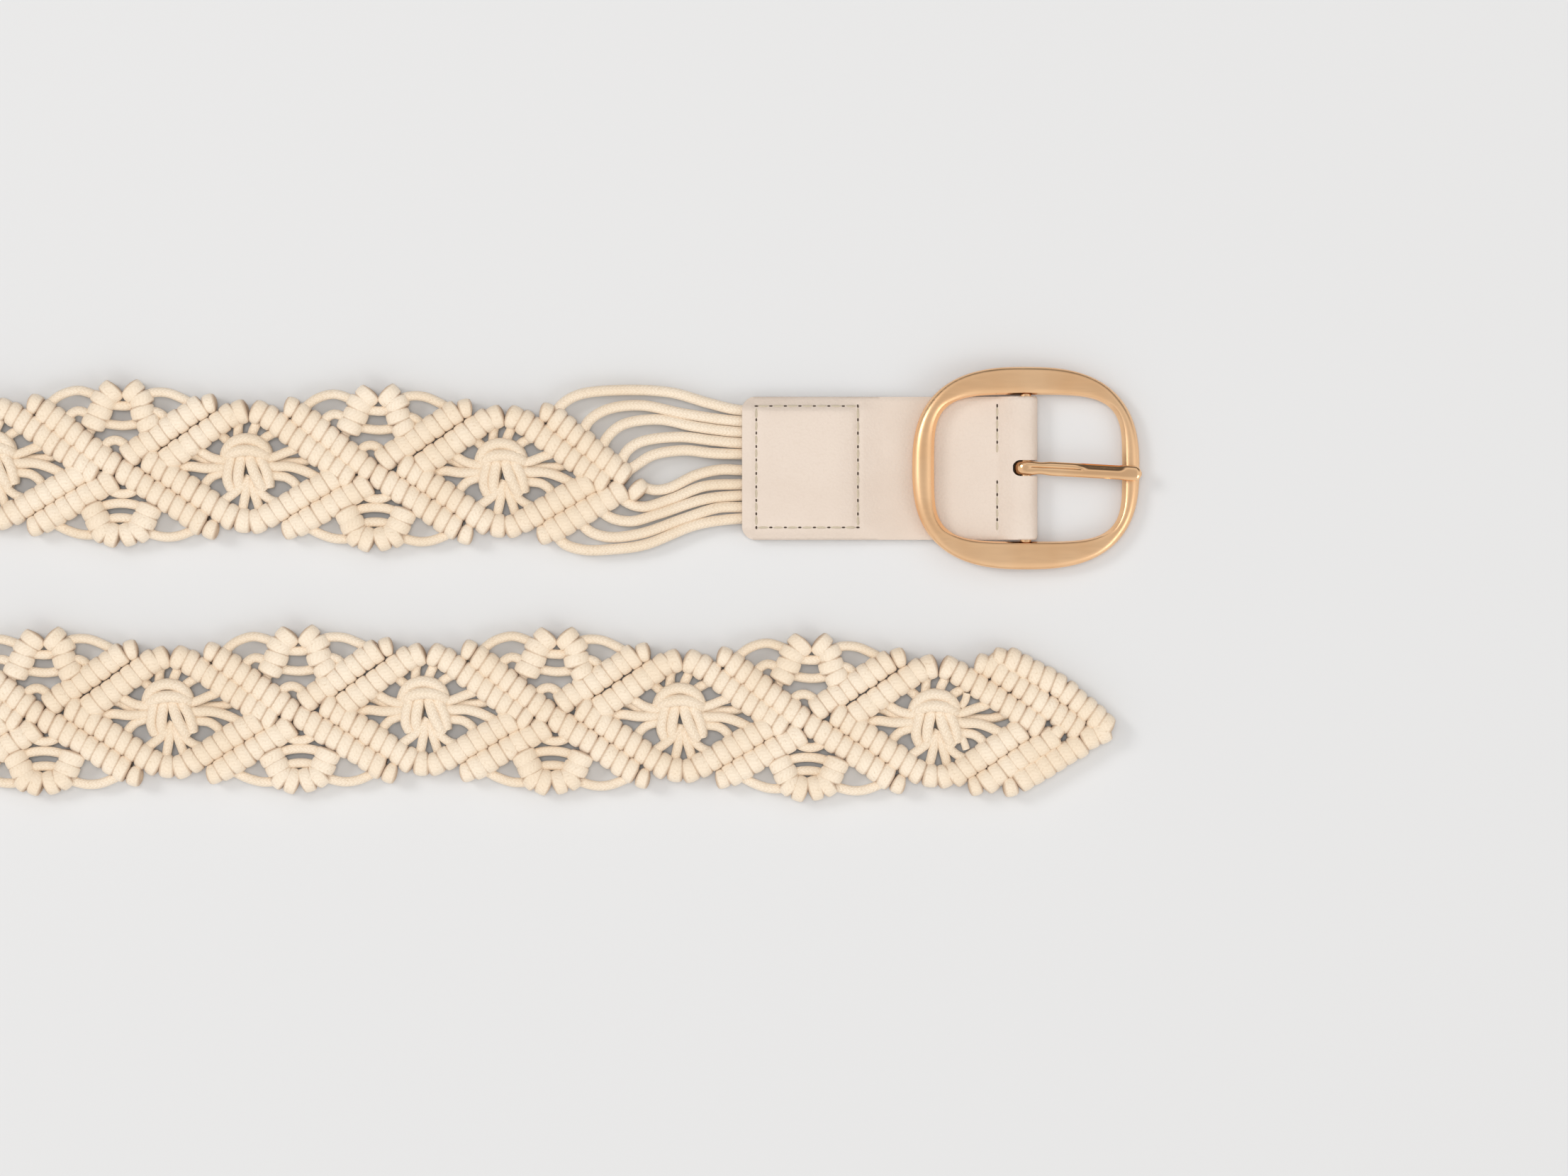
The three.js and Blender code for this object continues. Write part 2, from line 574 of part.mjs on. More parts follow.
// The prong's side view, from its loop round the bar to its tip over the frame's far side
function prongProfile(loopRadius, tip) {
  const underside = FAR_TOP + CLEARANCE;
  const top = underside + PRONG_THICKNESS;
  const quarter = PRONG_THICKNESS / 4;
  const shape = new THREE.Shape();
  shape.moveTo(0, loopRadius - PRONG_THICKNESS + quarter);
  shape.lineTo(FAR_EDGE, underside);
  shape.lineTo(tip - PRONG_TIP_ROUNDING, underside);
  shape.lineTo(tip, underside + quarter);
  shape.lineTo(tip - PRONG_TIP_ROUNDING, top - quarter);
  shape.lineTo(FAR_EDGE, top);
  shape.lineTo(FAR_EDGE / 2, (top + loopRadius) / 2 + PRONG_CROWN);
  shape.lineTo(0, loopRadius);
  return shape;
}

function prong() {
  const loopRadius = FOLD_BORE_RADIUS + LEATHER_WALL;
  const tip = FRAME_LENGTH / 2 + PRONG_OVERHANG;
  const profile = prongProfile(loopRadius, tip);
  const blade = new THREE.ExtrudeGeometry(profile, { depth: PRONG_WIDTH, steps: 1, bevelEnabled: false });
  blade.rotateX(Math.PI / 2).translate(0, PRONG_WIDTH / 2, 0);
  const position = blade.attributes.position;
  for (let i = 0; i < position.count; i += 1) {
    const share = Math.max(0, (position.getX(i) - FOLD_RADIUS) / (tip - FOLD_RADIUS));
    position.setY(i, position.getY(i) - PRONG_SLANT * share);
  }
  const loop = toSolid(roundBar(loopRadius, PRONG_WIDTH, 16));
  const bore = toSolid(roundBar(FOLD_BORE_RADIUS, PRONG_WIDTH + 2, 16));
  return joinAll([toSolid(blade), loop]).subtract(bore);
}

const belt = new THREE.Group();
belt.add(namedMesh('band_buckle_half', toGeometry(buckleHalf()), COLOURS.cotton));
belt.add(namedMesh('band_tail_half', toGeometry(tailHalf()), COLOURS.cotton));

const firstRows = grownFirstRows();
CORD_ROUTES.forEach((route, i) => {
  const name = `cord_${String(i + 1).padStart(2, '0')}`;
  belt.add(namedMesh(name, cordGeometry(route, CORD_ENTRIES[i], firstRows), COLOURS.cotton));
});

const tab = namedMesh('leather_tab', toGeometry(leatherTab()), COLOURS.leather);
tab.position.z = FOLD_RADIUS;
belt.add(tab);

const frame = namedMesh('buckle_frame', toGeometry(buckleFrame()), COLOURS.brushedGold);
frame.position.z = FOLD_RADIUS;
frame.rotation.y = FRAME_TILT;
belt.add(frame);

const prongMesh = namedMesh('prong', toGeometry(prong()), COLOURS.polishedGold);
prongMesh.position.z = FOLD_RADIUS;
belt.add(prongMesh);

// The origin is on the floor under the middle of the whole belt
const box = new THREE.Box3().setFromObject(belt, true);
const middle = box.getCenter(new THREE.Vector3());
belt.position.set(-middle.x, -middle.y, -box.min.z);
belt.updateMatrixWorld(true);

export default belt;
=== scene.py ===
"""A knotted cotton belt lying in a long U, dressed over its solids.

The band is a net of hitched cord in diamonds and picots. Ten bare cords join it to a folded
leather tab, which holds a centre bar buckle with its prong. Lengths are millimetres in the
classes below, measured from the buckle's bar, and become metres where a mesh is made.
"""

import logging
import math
import random
from collections.abc import Callable, Iterable, Mapping, Sequence
from dataclasses import dataclass, field
from enum import Enum
from typing import Any

import bmesh
import bpy
from mathutils import Matrix, Vector


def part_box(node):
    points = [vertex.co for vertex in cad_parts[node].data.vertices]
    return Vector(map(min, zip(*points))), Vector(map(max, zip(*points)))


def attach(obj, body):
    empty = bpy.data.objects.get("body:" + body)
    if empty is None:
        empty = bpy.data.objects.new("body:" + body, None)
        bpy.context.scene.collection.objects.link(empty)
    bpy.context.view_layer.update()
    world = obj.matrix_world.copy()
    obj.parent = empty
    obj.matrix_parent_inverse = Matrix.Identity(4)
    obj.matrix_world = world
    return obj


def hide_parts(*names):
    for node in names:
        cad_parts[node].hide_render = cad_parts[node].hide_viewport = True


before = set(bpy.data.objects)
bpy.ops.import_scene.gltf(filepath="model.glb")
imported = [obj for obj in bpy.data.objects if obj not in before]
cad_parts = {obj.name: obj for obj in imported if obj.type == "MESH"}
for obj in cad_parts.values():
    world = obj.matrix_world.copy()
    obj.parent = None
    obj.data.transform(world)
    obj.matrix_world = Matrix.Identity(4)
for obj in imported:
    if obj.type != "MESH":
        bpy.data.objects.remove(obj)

LOG = logging.getLogger("belt")
MM = 0.001

Placer = Callable[[float, float, float], Vector]
Plane = tuple[float, float]
Space = tuple[float, float, float]


class Body(Enum):
    """The rigid bodies of the belt."""

    STRAP = "strap"
    BUCKLE = "buckle"
    PRONG = "prong"


class Slot(Enum):
    """The material slots."""

    COTTON = "cotton_cord"
    LEATHER = "leather"
    BRUSHED = "brushed_gold"
    POLISHED = "polished_gold"


class Wrap(Enum):
    """The ways a cord lies round its leader."""

    BLOCK = 0
    COIL = 1
    TURN = 2


# Node trees


class NodeBook:
    """Adds nodes to a shader or geometry tree."""

    def __init__(self, tree: bpy.types.NodeTree) -> None:
        """Args: tree: the tree that the nodes go into."""
        self.tree = tree

    def add(self, kind: str, settings: Mapping[str, Any] | None = None,
            values: Mapping[Any, Any] | None = None) -> bpy.types.Node:
        """Adds one node.

        Args:
            kind: the node's type name.
            settings: properties that are set first.
            values: sockets by name or number, with a value, a socket or a Scalar to link.

        Returns:
            The new node.
        """
        node = self.tree.nodes.new(kind)
        for name, setting in (settings or {}).items():
            setattr(node, name, setting)
        for key, value in (values or {}).items():
            socket = node.inputs[key]
            value = value.socket if isinstance(value, Scalar) else value
            if isinstance(value, bpy.types.NodeSocket):
                self.tree.links.new(value, socket)
            else:
                socket.default_value = value
        return node

    def math(self, operation: str, *values: Any) -> bpy.types.NodeSocket:
        """Args: operation: of a Math node. values: its numbers. Returns: the result's socket."""
        return self.add("ShaderNodeMath", {"operation": operation}, dict(enumerate(values))).outputs[0]


class Scalar:
    """A number in a shader tree that takes part in Python expressions."""

    def __init__(self, book: NodeBook, socket: bpy.types.NodeSocket) -> None:
        """Args: book: where new nodes go. socket: the number's socket."""
        self.book = book
        self.socket = socket

    def _math(self, operation: str, *values: Any) -> "Scalar":
        """Args: operation: of a Math node. values: its numbers. Returns: the result."""
        return Scalar(self.book, self.book.math(operation, *values))

    def __add__(self, other: Any) -> "Scalar":
        """Sum."""
        return self._math("ADD", self, other)

    def __mul__(self, other: Any) -> "Scalar":
        """Product."""
        return self._math("MULTIPLY", self, other)

    def __rsub__(self, other: float) -> "Scalar":
        """A number less this one."""
        return self._math("SUBTRACT", other, self)

    def sine(self) -> "Scalar":
        """Sine of the number, in radians."""
        return self._math("SINE", self)

    def size(self) -> "Scalar":
        """The number without its sign."""
        return self._math("ABSOLUTE", self)

    def zigzag(self, span: float) -> "Scalar":
        """Args: span: where the number turns back. Returns: a wave from 0 to span and back."""
        return self._math("PINGPONG", self, span)

    def angle_of(self, other: "Scalar") -> "Scalar":
        """Args: other: the level part. Returns: the angle whose upright part is this number."""
        return self._math("ARCTAN2", self, other)

    def eased(self, low: float, high: float) -> "Scalar":
        """Args: low, high: the ends. Returns: a smooth step from 0 to 1 between them."""
        values = {"Value": self, "From Min": low, "From Max": high}
        node = self.book.add("ShaderNodeMapRange", {"interpolation_type": "SMOOTHSTEP"}, values)
        return Scalar(self.book, node.outputs["Result"])


# Finishes


@dataclass(frozen=True)
class Finish:
    """What every finish shares: its name, its bump and how its shader starts."""

    name: str
    bump_depth: float = 0.0
    bump_strength: float = 0.0

    def make(self) -> bpy.types.Material:
        """Returns: the new material."""
        material = bpy.data.materials.new(self.name)
        material.use_nodes = True
        material.node_tree.nodes.clear()
        book = NodeBook(material.node_tree)
        shader = book.add("ShaderNodeBsdfPrincipled", None, self.plain_values())
        book.add("ShaderNodeOutputMaterial", None, {"Surface": shader.outputs[0]})
        self.dress(book, shader)
        return material

    def plain_values(self) -> dict[str, Any]:
        """Returns: the shader's values that are the same all over."""
        return {}

    def dress(self, book: NodeBook, shader: bpy.types.Node) -> None:
        """Args: book: the tree. shader: the shader whose colour, roughness and bump are linked."""

    @staticmethod
    def place(book: NodeBook) -> bpy.types.NodeSocket:
        """Args: book: the tree. Returns: the socket of the place on the object, in metres."""
        return book.add("ShaderNodeTexCoord").outputs["Object"]

    @staticmethod
    def noise(book: NodeBook, scale: float, detail: float, vector: bpy.types.NodeSocket) -> Scalar:
        """Fine unevenness.

        Args:
            book: the tree.
            scale: bumps a metre.
            detail: octaves.
            vector: the place.

        Returns:
            A number from 0 to 1.
        """
        values = {"Vector": vector, "Scale": scale, "Detail": detail}
        return Scalar(book, book.add("ShaderNodeTexNoise", None, values).outputs[0])

    @staticmethod
    def blend(book: NodeBook, share: Scalar, low: Any, high: Any) -> bpy.types.NodeSocket:
        """Args: book: the tree. share: 0 to 1. low, high: colours or sockets. Returns: the mixed colour."""
        low, high = [(*c, 1.0) if isinstance(c, tuple) else c for c in (low, high)]
        node = book.add("ShaderNodeMix", {"data_type": "RGBA"}, {0: share, 6: low, 7: high})
        return node.outputs[2]

    @staticmethod
    def marked(book: NodeBook, name: str) -> Scalar:
        """Args: book: the tree. name: of a mesh attribute. Returns: its number."""
        return Scalar(book, book.add("ShaderNodeAttribute", {"attribute_name": name}).outputs["Fac"])

    def bump(self, book: NodeBook, shader: bpy.types.Node, height: Scalar) -> None:
        """Args: book: the tree. shader: its owner. height: of the surface, 0 to 1."""
        values = {"Height": height, "Distance": self.bump_depth, "Strength": self.bump_strength}
        node = book.add("ShaderNodeBump", None, values)
        book.tree.links.new(node.outputs[0], shader.inputs["Normal"])

    @staticmethod
    def feed(book: NodeBook, source: Any, shader: bpy.types.Node, socket: str) -> None:
        """Args: book: the tree. source: a socket or Scalar. shader, socket: what it goes into."""
        source = source.socket if isinstance(source, Scalar) else source
        book.tree.links.new(source, shader.inputs[socket])


@dataclass(frozen=True)
class CottonFinish(Finish):
    """Matt braided cotton cord. Its braid follows the cord's own run and side. Its colour holds painted
    shade between the braid's threads and in each crease where wraps meet.
    """

    bump_depth: float = 0.0002
    bump_strength: float = 0.55
    light: Space = (0.855, 0.71, 0.54)
    pale: Space = (0.91, 0.785, 0.63)
    # painted shade for the braid's furrows, and the real tone of its brownish fibre flecks
    groove_shade_and_fleck: Space = (0.64, 0.475, 0.31)
    # painted shade: the colour laid in each crease where neighbouring wraps meet
    crease: Space = (0.46, 0.29, 0.165)
    columns: int = 10
    column_edge: float = 0.75
    column_depth: float = 0.7
    stitch_length: float = 1.05
    stitch_edge: Plane = (0.05, 0.8)
    slant: float = 0.9
    warp: float = 0.5
    patches: Plane = (0.3, 0.7)
    flecks: Plane = (0.56, 0.72)
    groove_shade_share: float = 0.3
    packed_calm: float = 0.5
    fleck_share: float = 0.42
    crease_shade_share: float = 0.9
    braid_height: float = 0.55
    packed_drop: float = 0.33
    fibre_height: float = 0.7
    patch_scale: float = 55.0
    sway_scale: float = 660.0
    fibre_scale: float = 2600.0
    fleck_scale: float = 1560.0

    def plain_values(self) -> dict[str, Any]:
        """Returns: a rough fabric with a little sheen."""
        return {"Roughness": 0.92, "Specular IOR Level": 0.18, "Sheen Weight": 0.25, "Sheen Roughness": 0.6}

    def braid(self, book: NodeBook) -> Scalar:
        """Args: book: the tree. Returns: the height of the braid's threads, 0 in the furrows between them.
        """
        side = book.add("ShaderNodeAttribute", {"attribute_name": "cord_side"})
        parts = book.add("ShaderNodeSeparateXYZ", None, {0: side.outputs["Vector"]})
        across, out = [Scalar(book, parts.outputs[i]) for i in (0, 1)]
        sway = self.noise(book, self.sway_scale, 1.0, self.place(book))
        along = self.marked(book, "cord_run") + sway * self.warp
        column = out.angle_of(across) * (self.columns / math.tau)
        slope = column.zigzag(1.0) * self.slant
        thread = ((along * (1 / self.stitch_length) + slope) * math.tau).sine() * 0.5 + 0.5
        edge = (column * math.pi).sine().size().eased(0.0, self.column_edge)
        return thread.eased(*self.stitch_edge) * (edge * self.column_depth + (1 - self.column_depth))

    def dress(self, book: NodeBook, shader: bpy.types.Node) -> None:
        """Args: book: the tree. shader: the cotton's shader."""
        place = self.place(book)
        braid, packed = self.braid(book), self.marked(book, "packed")
        patches = self.noise(book, self.patch_scale, 3.0, place).eased(*self.patches)
        fibres = self.noise(book, self.fibre_scale, 2.0, place)
        flecks = self.noise(book, self.fleck_scale, 3.0, place).eased(*self.flecks)
        # painted shade: the braid's furrows are darkened where its threads dip, less on the packed wraps
        groove_shades = (1 - braid) * (1 - packed * self.packed_calm)
        crease_shades = self.marked(book, "crease")
        colour = self.blend(book, patches, self.light, self.pale)
        colour = self.blend(book, groove_shades * self.groove_shade_share, colour, self.groove_shade_and_fleck)
        colour = self.blend(book, flecks * self.fleck_share, colour, self.groove_shade_and_fleck)
        # painted shade: each crease between wraps is darkened by the crease mark
        colour = self.blend(book, crease_shades * self.crease_shade_share, colour, self.crease)
        self.feed(book, colour, shader, "Base Color")
        threads = braid * (self.braid_height - packed * self.packed_drop)
        self.bump(book, shader, threads + fibres * self.fibre_height)


@dataclass(frozen=True)
class LeatherFinish(Finish):
    """Smooth pale leather with fine grain."""

    bump_depth: float = 0.00022
    bump_strength: float = 0.5
    base: Space = (0.755, 0.64, 0.545)
    deep: Space = (0.69, 0.57, 0.475)
    grain_scale: float = 1500.0
    wrinkle_scale: float = 260.0
    patch_scale: float = 30.0
    patches: Plane = (0.35, 0.75)
    grain: Plane = (0.45, 0.9)
    grain_share: float = 0.3
    grain_height: float = 0.6
    wrinkle_height: float = 0.8
    roughness: float = 0.44
    rough_spread: float = 0.14

    def plain_values(self) -> dict[str, Any]:
        """Returns: a soft sheen."""
        return {"Specular IOR Level": 0.4}

    def dress(self, book: NodeBook, shader: bpy.types.Node) -> None:
        """Args: book: the tree. shader: the leather's shader."""
        place = self.place(book)
        cells = book.add("ShaderNodeTexVoronoi", {"feature": "SMOOTH_F1"},
                         {"Vector": place, "Scale": self.grain_scale, "Smoothness": 0.5})
        grain = Scalar(book, cells.outputs["Distance"])
        wrinkle = self.noise(book, self.wrinkle_scale, 6.0, place)
        patches = self.noise(book, self.patch_scale, 4.0, place)
        colour = self.blend(book, patches.eased(*self.patches), self.base, self.deep)
        colour = self.blend(book, grain.eased(*self.grain) * self.grain_share, colour, self.deep)
        self.feed(book, colour, shader, "Base Color")
        self.feed(book, patches * self.rough_spread + self.roughness, shader, "Roughness")
        self.bump(book, shader, grain * self.grain_height + wrinkle * self.wrinkle_height)


@dataclass(frozen=True)
class ThreadFinish(Finish):
    """Twisted sewing thread with painted shade between its plies, or painted shade where the needle pierced
    the leather.
    """

    bump_depth: float = 0.0001
    bump_strength: float = 0.5
    colour: Space = (0.76, 0.67, 0.52)
    # painted shade between the thread's plies
    shade_colour: Space = (0.56, 0.47, 0.33)
    ply_scale: float = 5200.0

    def plain_values(self) -> dict[str, Any]:
        """Returns: a matt thread."""
        return {"Roughness": 0.75}

    def dress(self, book: NodeBook, shader: bpy.types.Node) -> None:
        """Args: book: the tree. shader: the thread's shader."""
        values = {"Vector": self.place(book), "Scale": self.ply_scale, "Distortion": 2.0}
        node = book.add("ShaderNodeTexWave", {"bands_direction": "DIAGONAL"}, values)
        ply = Scalar(book, node.outputs["Fac"])
        # painted shade: the thread is darker where its plies dip
        self.feed(book, self.blend(book, ply, self.shade_colour, self.colour), shader, "Base Color")
        self.bump(book, shader, ply)


@dataclass(frozen=True)
class GoldFinish(Finish):
    """Light rose gold plating, brushed or polished."""

    bump_depth: float = 0.00004
    bump_strength: float = 0.15
    bright: Space = (0.98, 0.645, 0.375)
    warm: Space = (0.92, 0.57, 0.31)
    roughness: float = 0.36
    streak: float = 0.1
    streaks: Plane = (0.25, 0.75)
    streak_scale: Space = (150.0, 2600.0, 900.0)
    clouds: Plane = (0.3, 0.7)
    cloud_scale: float = 70.0

    def plain_values(self) -> dict[str, Any]:
        """Returns: bare metal."""
        return {"Metallic": 1.0}

    def dress(self, book: NodeBook, shader: bpy.types.Node) -> None:
        """Args: book: the tree. shader: the metal's shader."""
        place = self.place(book)
        mapping = book.add("ShaderNodeMapping", None, {"Vector": place, "Scale": self.streak_scale})
        streaks = self.noise(book, 1.0, 4.0, mapping.outputs[0])
        clouds = self.noise(book, self.cloud_scale, 2.0, place).eased(*self.clouds)
        self.feed(book, self.blend(book, clouds, self.bright, self.warm), shader, "Base Color")
        rough = streaks.eased(*self.streaks) * self.streak + (self.roughness - self.streak / 2)
        self.feed(book, rough, shader, "Roughness")
        self.bump(book, shader, streaks)


@dataclass(frozen=True)
class FloorFinish(Finish):
    """The plain pale floor."""

    colour: Space = (0.72, 0.72, 0.72)

    def plain_values(self) -> dict[str, Any]:
        """Returns: a matt pale grey."""
        return {"Base Color": (*self.colour, 1.0), "Roughness": 1.0, "Specular IOR Level": 0.0}


# Mesh helpers


def mesh_object(name: str, verts: Iterable[Sequence[float]], faces: Iterable[Sequence[int]],
                edges: Iterable[Sequence[int]] = ()) -> bpy.types.Object:
    """Makes an object from corners in metres.

    Args:
        name: the object's name.
        verts: the corners.
        faces: corner numbers of each face.
        edges: corner numbers of loose edges.

    Returns:
        The object, linked to the scene.
    """
    mesh = bpy.data.meshes.new(name)
    mesh.from_pydata([tuple(v) for v in verts], [tuple(e) for e in edges], [tuple(f) for f in faces])
    mesh.update()
    made = bpy.data.objects.new(name, mesh)
    bpy.context.scene.collection.objects.link(made)
    return made


def mark(mesh: bpy.types.Mesh, name: str, kind: str, part: str, values: Sequence[float],
         domain: str = "POINT") -> None:
    """Stores an attribute on a mesh.

    Args:
        mesh: what gets it.
        name: of the attribute.
        kind: its data type.
        part: the name of its value in Python.
        values: all its numbers in a row.
        domain: what each value belongs to.
    """
    mesh.attributes.new(name, kind, domain).data.foreach_set(part, values)


def finish_normals(made: bpy.types.Object, sharp_degrees: float = 50.0) -> None:
    """Points the faces outwards, shades them smooth and marks the sharp edges.

    Args:
        made: the object.
        sharp_degrees: edges bent more than this stay sharp.
    """
    work = bmesh.new()
    work.from_mesh(made.data)
    bmesh.ops.remove_doubles(work, verts=work.verts, dist=1e-7)
    bmesh.ops.recalc_face_normals(work, faces=work.faces)
    for face in work.faces:
        face.smooth = True
    limit = math.radians(sharp_degrees)
    for edge in work.edges:
        edge.smooth = not edge.is_manifold or edge.calc_face_angle() < limit
    work.to_mesh(made.data)
    work.free()


def smooth_step(share: float) -> float:
    """Args: share: any number. Returns: an eased share from 0 to 1."""
    t = min(max(share, 0.0), 1.0)
    return t * t * (3 - 2 * t)


def angles(count: int, shift: float = 0.0) -> list[float]:
    """Args: count: how many. shift: share of a step. Returns: even angles round a circle."""
    return [math.tau * (i + shift) / count for i in range(count)]


def tube_faces(start: int, rings: int, sides: int, closed: bool = False) -> list[tuple[int, ...]]:
    """Faces between rings of corners that follow each other.

    Args:
        start: number of the first corner.
        rings: how many rings.
        sides: corners in each ring.
        closed: whether the last ring joins the first; if not, both ends are capped.

    Returns:
        The faces, ring by ring, and then the caps.
    """
    faces: list[tuple[int, ...]] = []
    for i in range(rings if closed else rings - 1):
        here, there = start + i * sides, start + (i + 1) % rings * sides
        for j in range(sides):
            k = (j + 1) % sides
            faces.append((here + j, there + j, there + k, here + k))
    if not closed:
        faces += [tuple(range(first, first + sides)) for first in (start, start + (rings - 1) * sides)]
    return faces


def rounded(value: float, power: float) -> float:
    """Args: value: a sine or cosine. power: of the outline. Returns: it on a squarer outline."""
    return math.copysign(abs(value) ** (2 / power), value)


def smooth_line(points: Sequence[Vector], step: float) -> list[Vector]:
    """A smooth curve through points.

    Args:
        points: what it passes through.
        step: how far apart the new points are, about.

    Returns:
        The points of the curve.
    """
    ends = [points[0] * 2 - points[1], *points, points[-1] * 2 - points[-2]]
    line = [points[0].copy()]
    for a, b, c, d in zip(ends, ends[1:], ends[2:], ends[3:]):
        gaps = [max(math.sqrt((q - p).length), 1e-6) for p, q in ((a, b), (b, c), (c, d))]
        count = max(2, math.ceil((c - b).length / step))
        into = ((b - a) / gaps[0] - (c - a) / (gaps[0] + gaps[1]) + (c - b) / gaps[1]) * gaps[1]
        out = ((c - b) / gaps[1] - (d - b) / (gaps[1] + gaps[2]) + (d - c) / gaps[2]) * gaps[1]
        for i in range(1, count + 1):
            t = i / count
            line.append(b * (2 * t**3 - 3 * t**2 + 1) + into * (t**3 - 2 * t**2 + t)
                        + c * (3 * t**2 - 2 * t**3) + out * (t**3 - t**2))
    return line


def plain_mesh(made: bpy.types.Object) -> bpy.types.Object:
    """Turns an object's evaluated modifiers into a plain mesh.

    Args:
        made: the object with its modifier.

    Returns:
        A new object with the result, in place of the old one.
    """
    name = made.name
    graph = bpy.context.evaluated_depsgraph_get()
    mesh = bpy.data.meshes.new_from_object(made.evaluated_get(graph))
    bpy.data.objects.remove(made)
    result = bpy.data.objects.new(name, mesh)
    mesh.name = name
    bpy.context.scene.collection.objects.link(result)
    return result


def dress(made: bpy.types.Object, body: Body, slot: Slot, *nodes: str) -> None:
    """Lets a piece ride on its body, hides the solids that it replaces, and reports it.

    Args:
        made: the finished piece.
        body: what it rides on.
        slot: its material slot, not used.
        nodes: the solids that it replaces.
    """
    if nodes:
        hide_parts(*nodes)
    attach(made, body.value)
    made.data.calc_loop_triangles()
    LOG.info("%s: %d triangles", made.name, len(made.data.loop_triangles))


# Geometry Nodes


class GeometryTree:
    """A Geometry Nodes tree with named inputs, built step by step."""

    def __init__(self, name: str, inputs: Mapping[str, tuple[str, Any]]) -> None:
        """Args: name: the tree's name. inputs: socket type and first value by name."""
        self.tree = bpy.data.node_groups.new(name, "GeometryNodeTree")
        self.book = NodeBook(self.tree)
        face = self.tree.interface
        face.new_socket("Geometry", in_out="INPUT", socket_type="NodeSocketGeometry")
        face.new_socket("Geometry", in_out="OUTPUT", socket_type="NodeSocketGeometry")
        for label, (kind, value) in inputs.items():
            socket = face.new_socket(label, in_out="INPUT", socket_type=kind)
            if value is not None:
                socket.default_value = value
        self.source = self.book.add("NodeGroupInput")

    def given(self, label: str) -> bpy.types.NodeSocket:
        """Args: label: an input's name. Returns: its socket."""
        return self.source.outputs[label]

    def attribute(self, name: str, kind: str) -> bpy.types.NodeSocket:
        """Args: name: of the attribute. kind: its data type. Returns: its socket."""
        node = self.book.add("GeometryNodeInputNamedAttribute", {"data_type": kind}, {"Name": name})
        return node.outputs[0]

    def close(self, geometry: bpy.types.NodeSocket) -> None:
        """Args: geometry: the result, before its instances are realized and it gets its material."""
        real = self.book.add("GeometryNodeRealizeInstances", None, {"Geometry": geometry})
        values = {"Geometry": real.outputs[0], "Material": self.given("Material")}
        painted = self.book.add("GeometryNodeSetMaterial", None, values)
        self.book.add("NodeGroupOutput", None, {"Geometry": painted.outputs[0]})

    def apply(self, made: bpy.types.Object, values: Mapping[str, Any]) -> bpy.types.Object:
        """Runs the tree on an object.

        Args:
            made: the object whose mesh goes in.
            values: inputs by name.

        Returns:
            The plain mesh that comes out.
        """
        modifier = made.modifiers.new(self.tree.name, "NODES")
        modifier.node_group = self.tree
        names = {item.name: item.identifier for item in self.tree.interface.items_tree
                 if item.in_out == "INPUT"}
        for label, value in values.items():
            modifier[names[label]] = value
        return plain_mesh(made)


class ScatterTree(GeometryTree):
    """Puts one of three shapes on each point, by the point's kind, turn and size."""

    SHAPES = ("Shape 0", "Shape 1", "Shape 2")
    SIZE_SEED = 9

    def __init__(self) -> None:
        """Builds the tree."""
        inputs: dict[str, tuple[str, Any]] = {name: ("NodeSocketObject", None) for name in self.SHAPES}
        inputs["Turn Jitter"] = ("NodeSocketFloat", 0.0)
        inputs["Size Jitter"] = ("NodeSocketFloat", 0.0)
        inputs["Seed"] = ("NodeSocketInt", 7)
        inputs["Material"] = ("NodeSocketMaterial", None)
        super().__init__("scatter", inputs)
        parts = [self._one_shape(i, name) for i, name in enumerate(self.SHAPES)]
        joined = self.book.add("GeometryNodeJoinGeometry")
        for part in reversed(parts):
            self.tree.links.new(part, joined.inputs[0])
        self.close(joined.outputs[0])

    def _random(self, label: str, middle: float, offset: int) -> bpy.types.NodeSocket:
        """Args: label: the jitter's input. middle: its middle value. offset: added to the seed.

        Returns:
            A random vector round the middle.
        """
        ends = []
        for sign in (-1.0, 1.0):
            reach = self.book.math("MULTIPLY", self.given(label), sign)
            end = self.book.math("ADD", reach, middle)
            corner = self.book.add("ShaderNodeCombineXYZ", None, dict.fromkeys(range(3), end))
            ends.append(corner.outputs[0])
        seed = self.book.math("ADD", self.given("Seed"), float(offset))
        values = {0: ends[0], 1: ends[1], "Seed": seed}
        return self.book.add("FunctionNodeRandomValue", {"data_type": "FLOAT_VECTOR"}, values).outputs[0]

    def _one_shape(self, kind: int, label: str) -> bpy.types.NodeSocket:
        """Args: kind: which points it goes on. label: the shape's input. Returns: the instances."""
        shape = self.book.add("GeometryNodeObjectInfo", None, {"Object": self.given(label)})
        wanted = self.book.add("FunctionNodeCompare", {"data_type": "INT", "operation": "EQUAL"},
                               {2: self.attribute("kind", "INT"), 3: kind})
        shaken = self._random("Turn Jitter", 0.0, kind)
        shake = self.book.add("FunctionNodeEulerToRotation", None, {0: shaken})
        turn = self.book.add("FunctionNodeRotateRotation", {"rotation_space": "LOCAL"},
                             {0: self.attribute("turn", "QUATERNION"), 1: shake.outputs[0]})
        grown = self._random("Size Jitter", 1.0, kind + self.SIZE_SEED)
        size = self.book.add("ShaderNodeVectorMath", {"operation": "MULTIPLY"},
                             {0: self.attribute("size", "FLOAT_VECTOR"), 1: grown})
        values = {
            "Points": self.given("Geometry"), "Selection": wanted.outputs[0],
            "Instance": shape.outputs["Geometry"], "Rotation": turn.outputs[0], "Scale": size.outputs[0],
        }
        return self.book.add("GeometryNodeInstanceOnPoints", None, values).outputs[0]


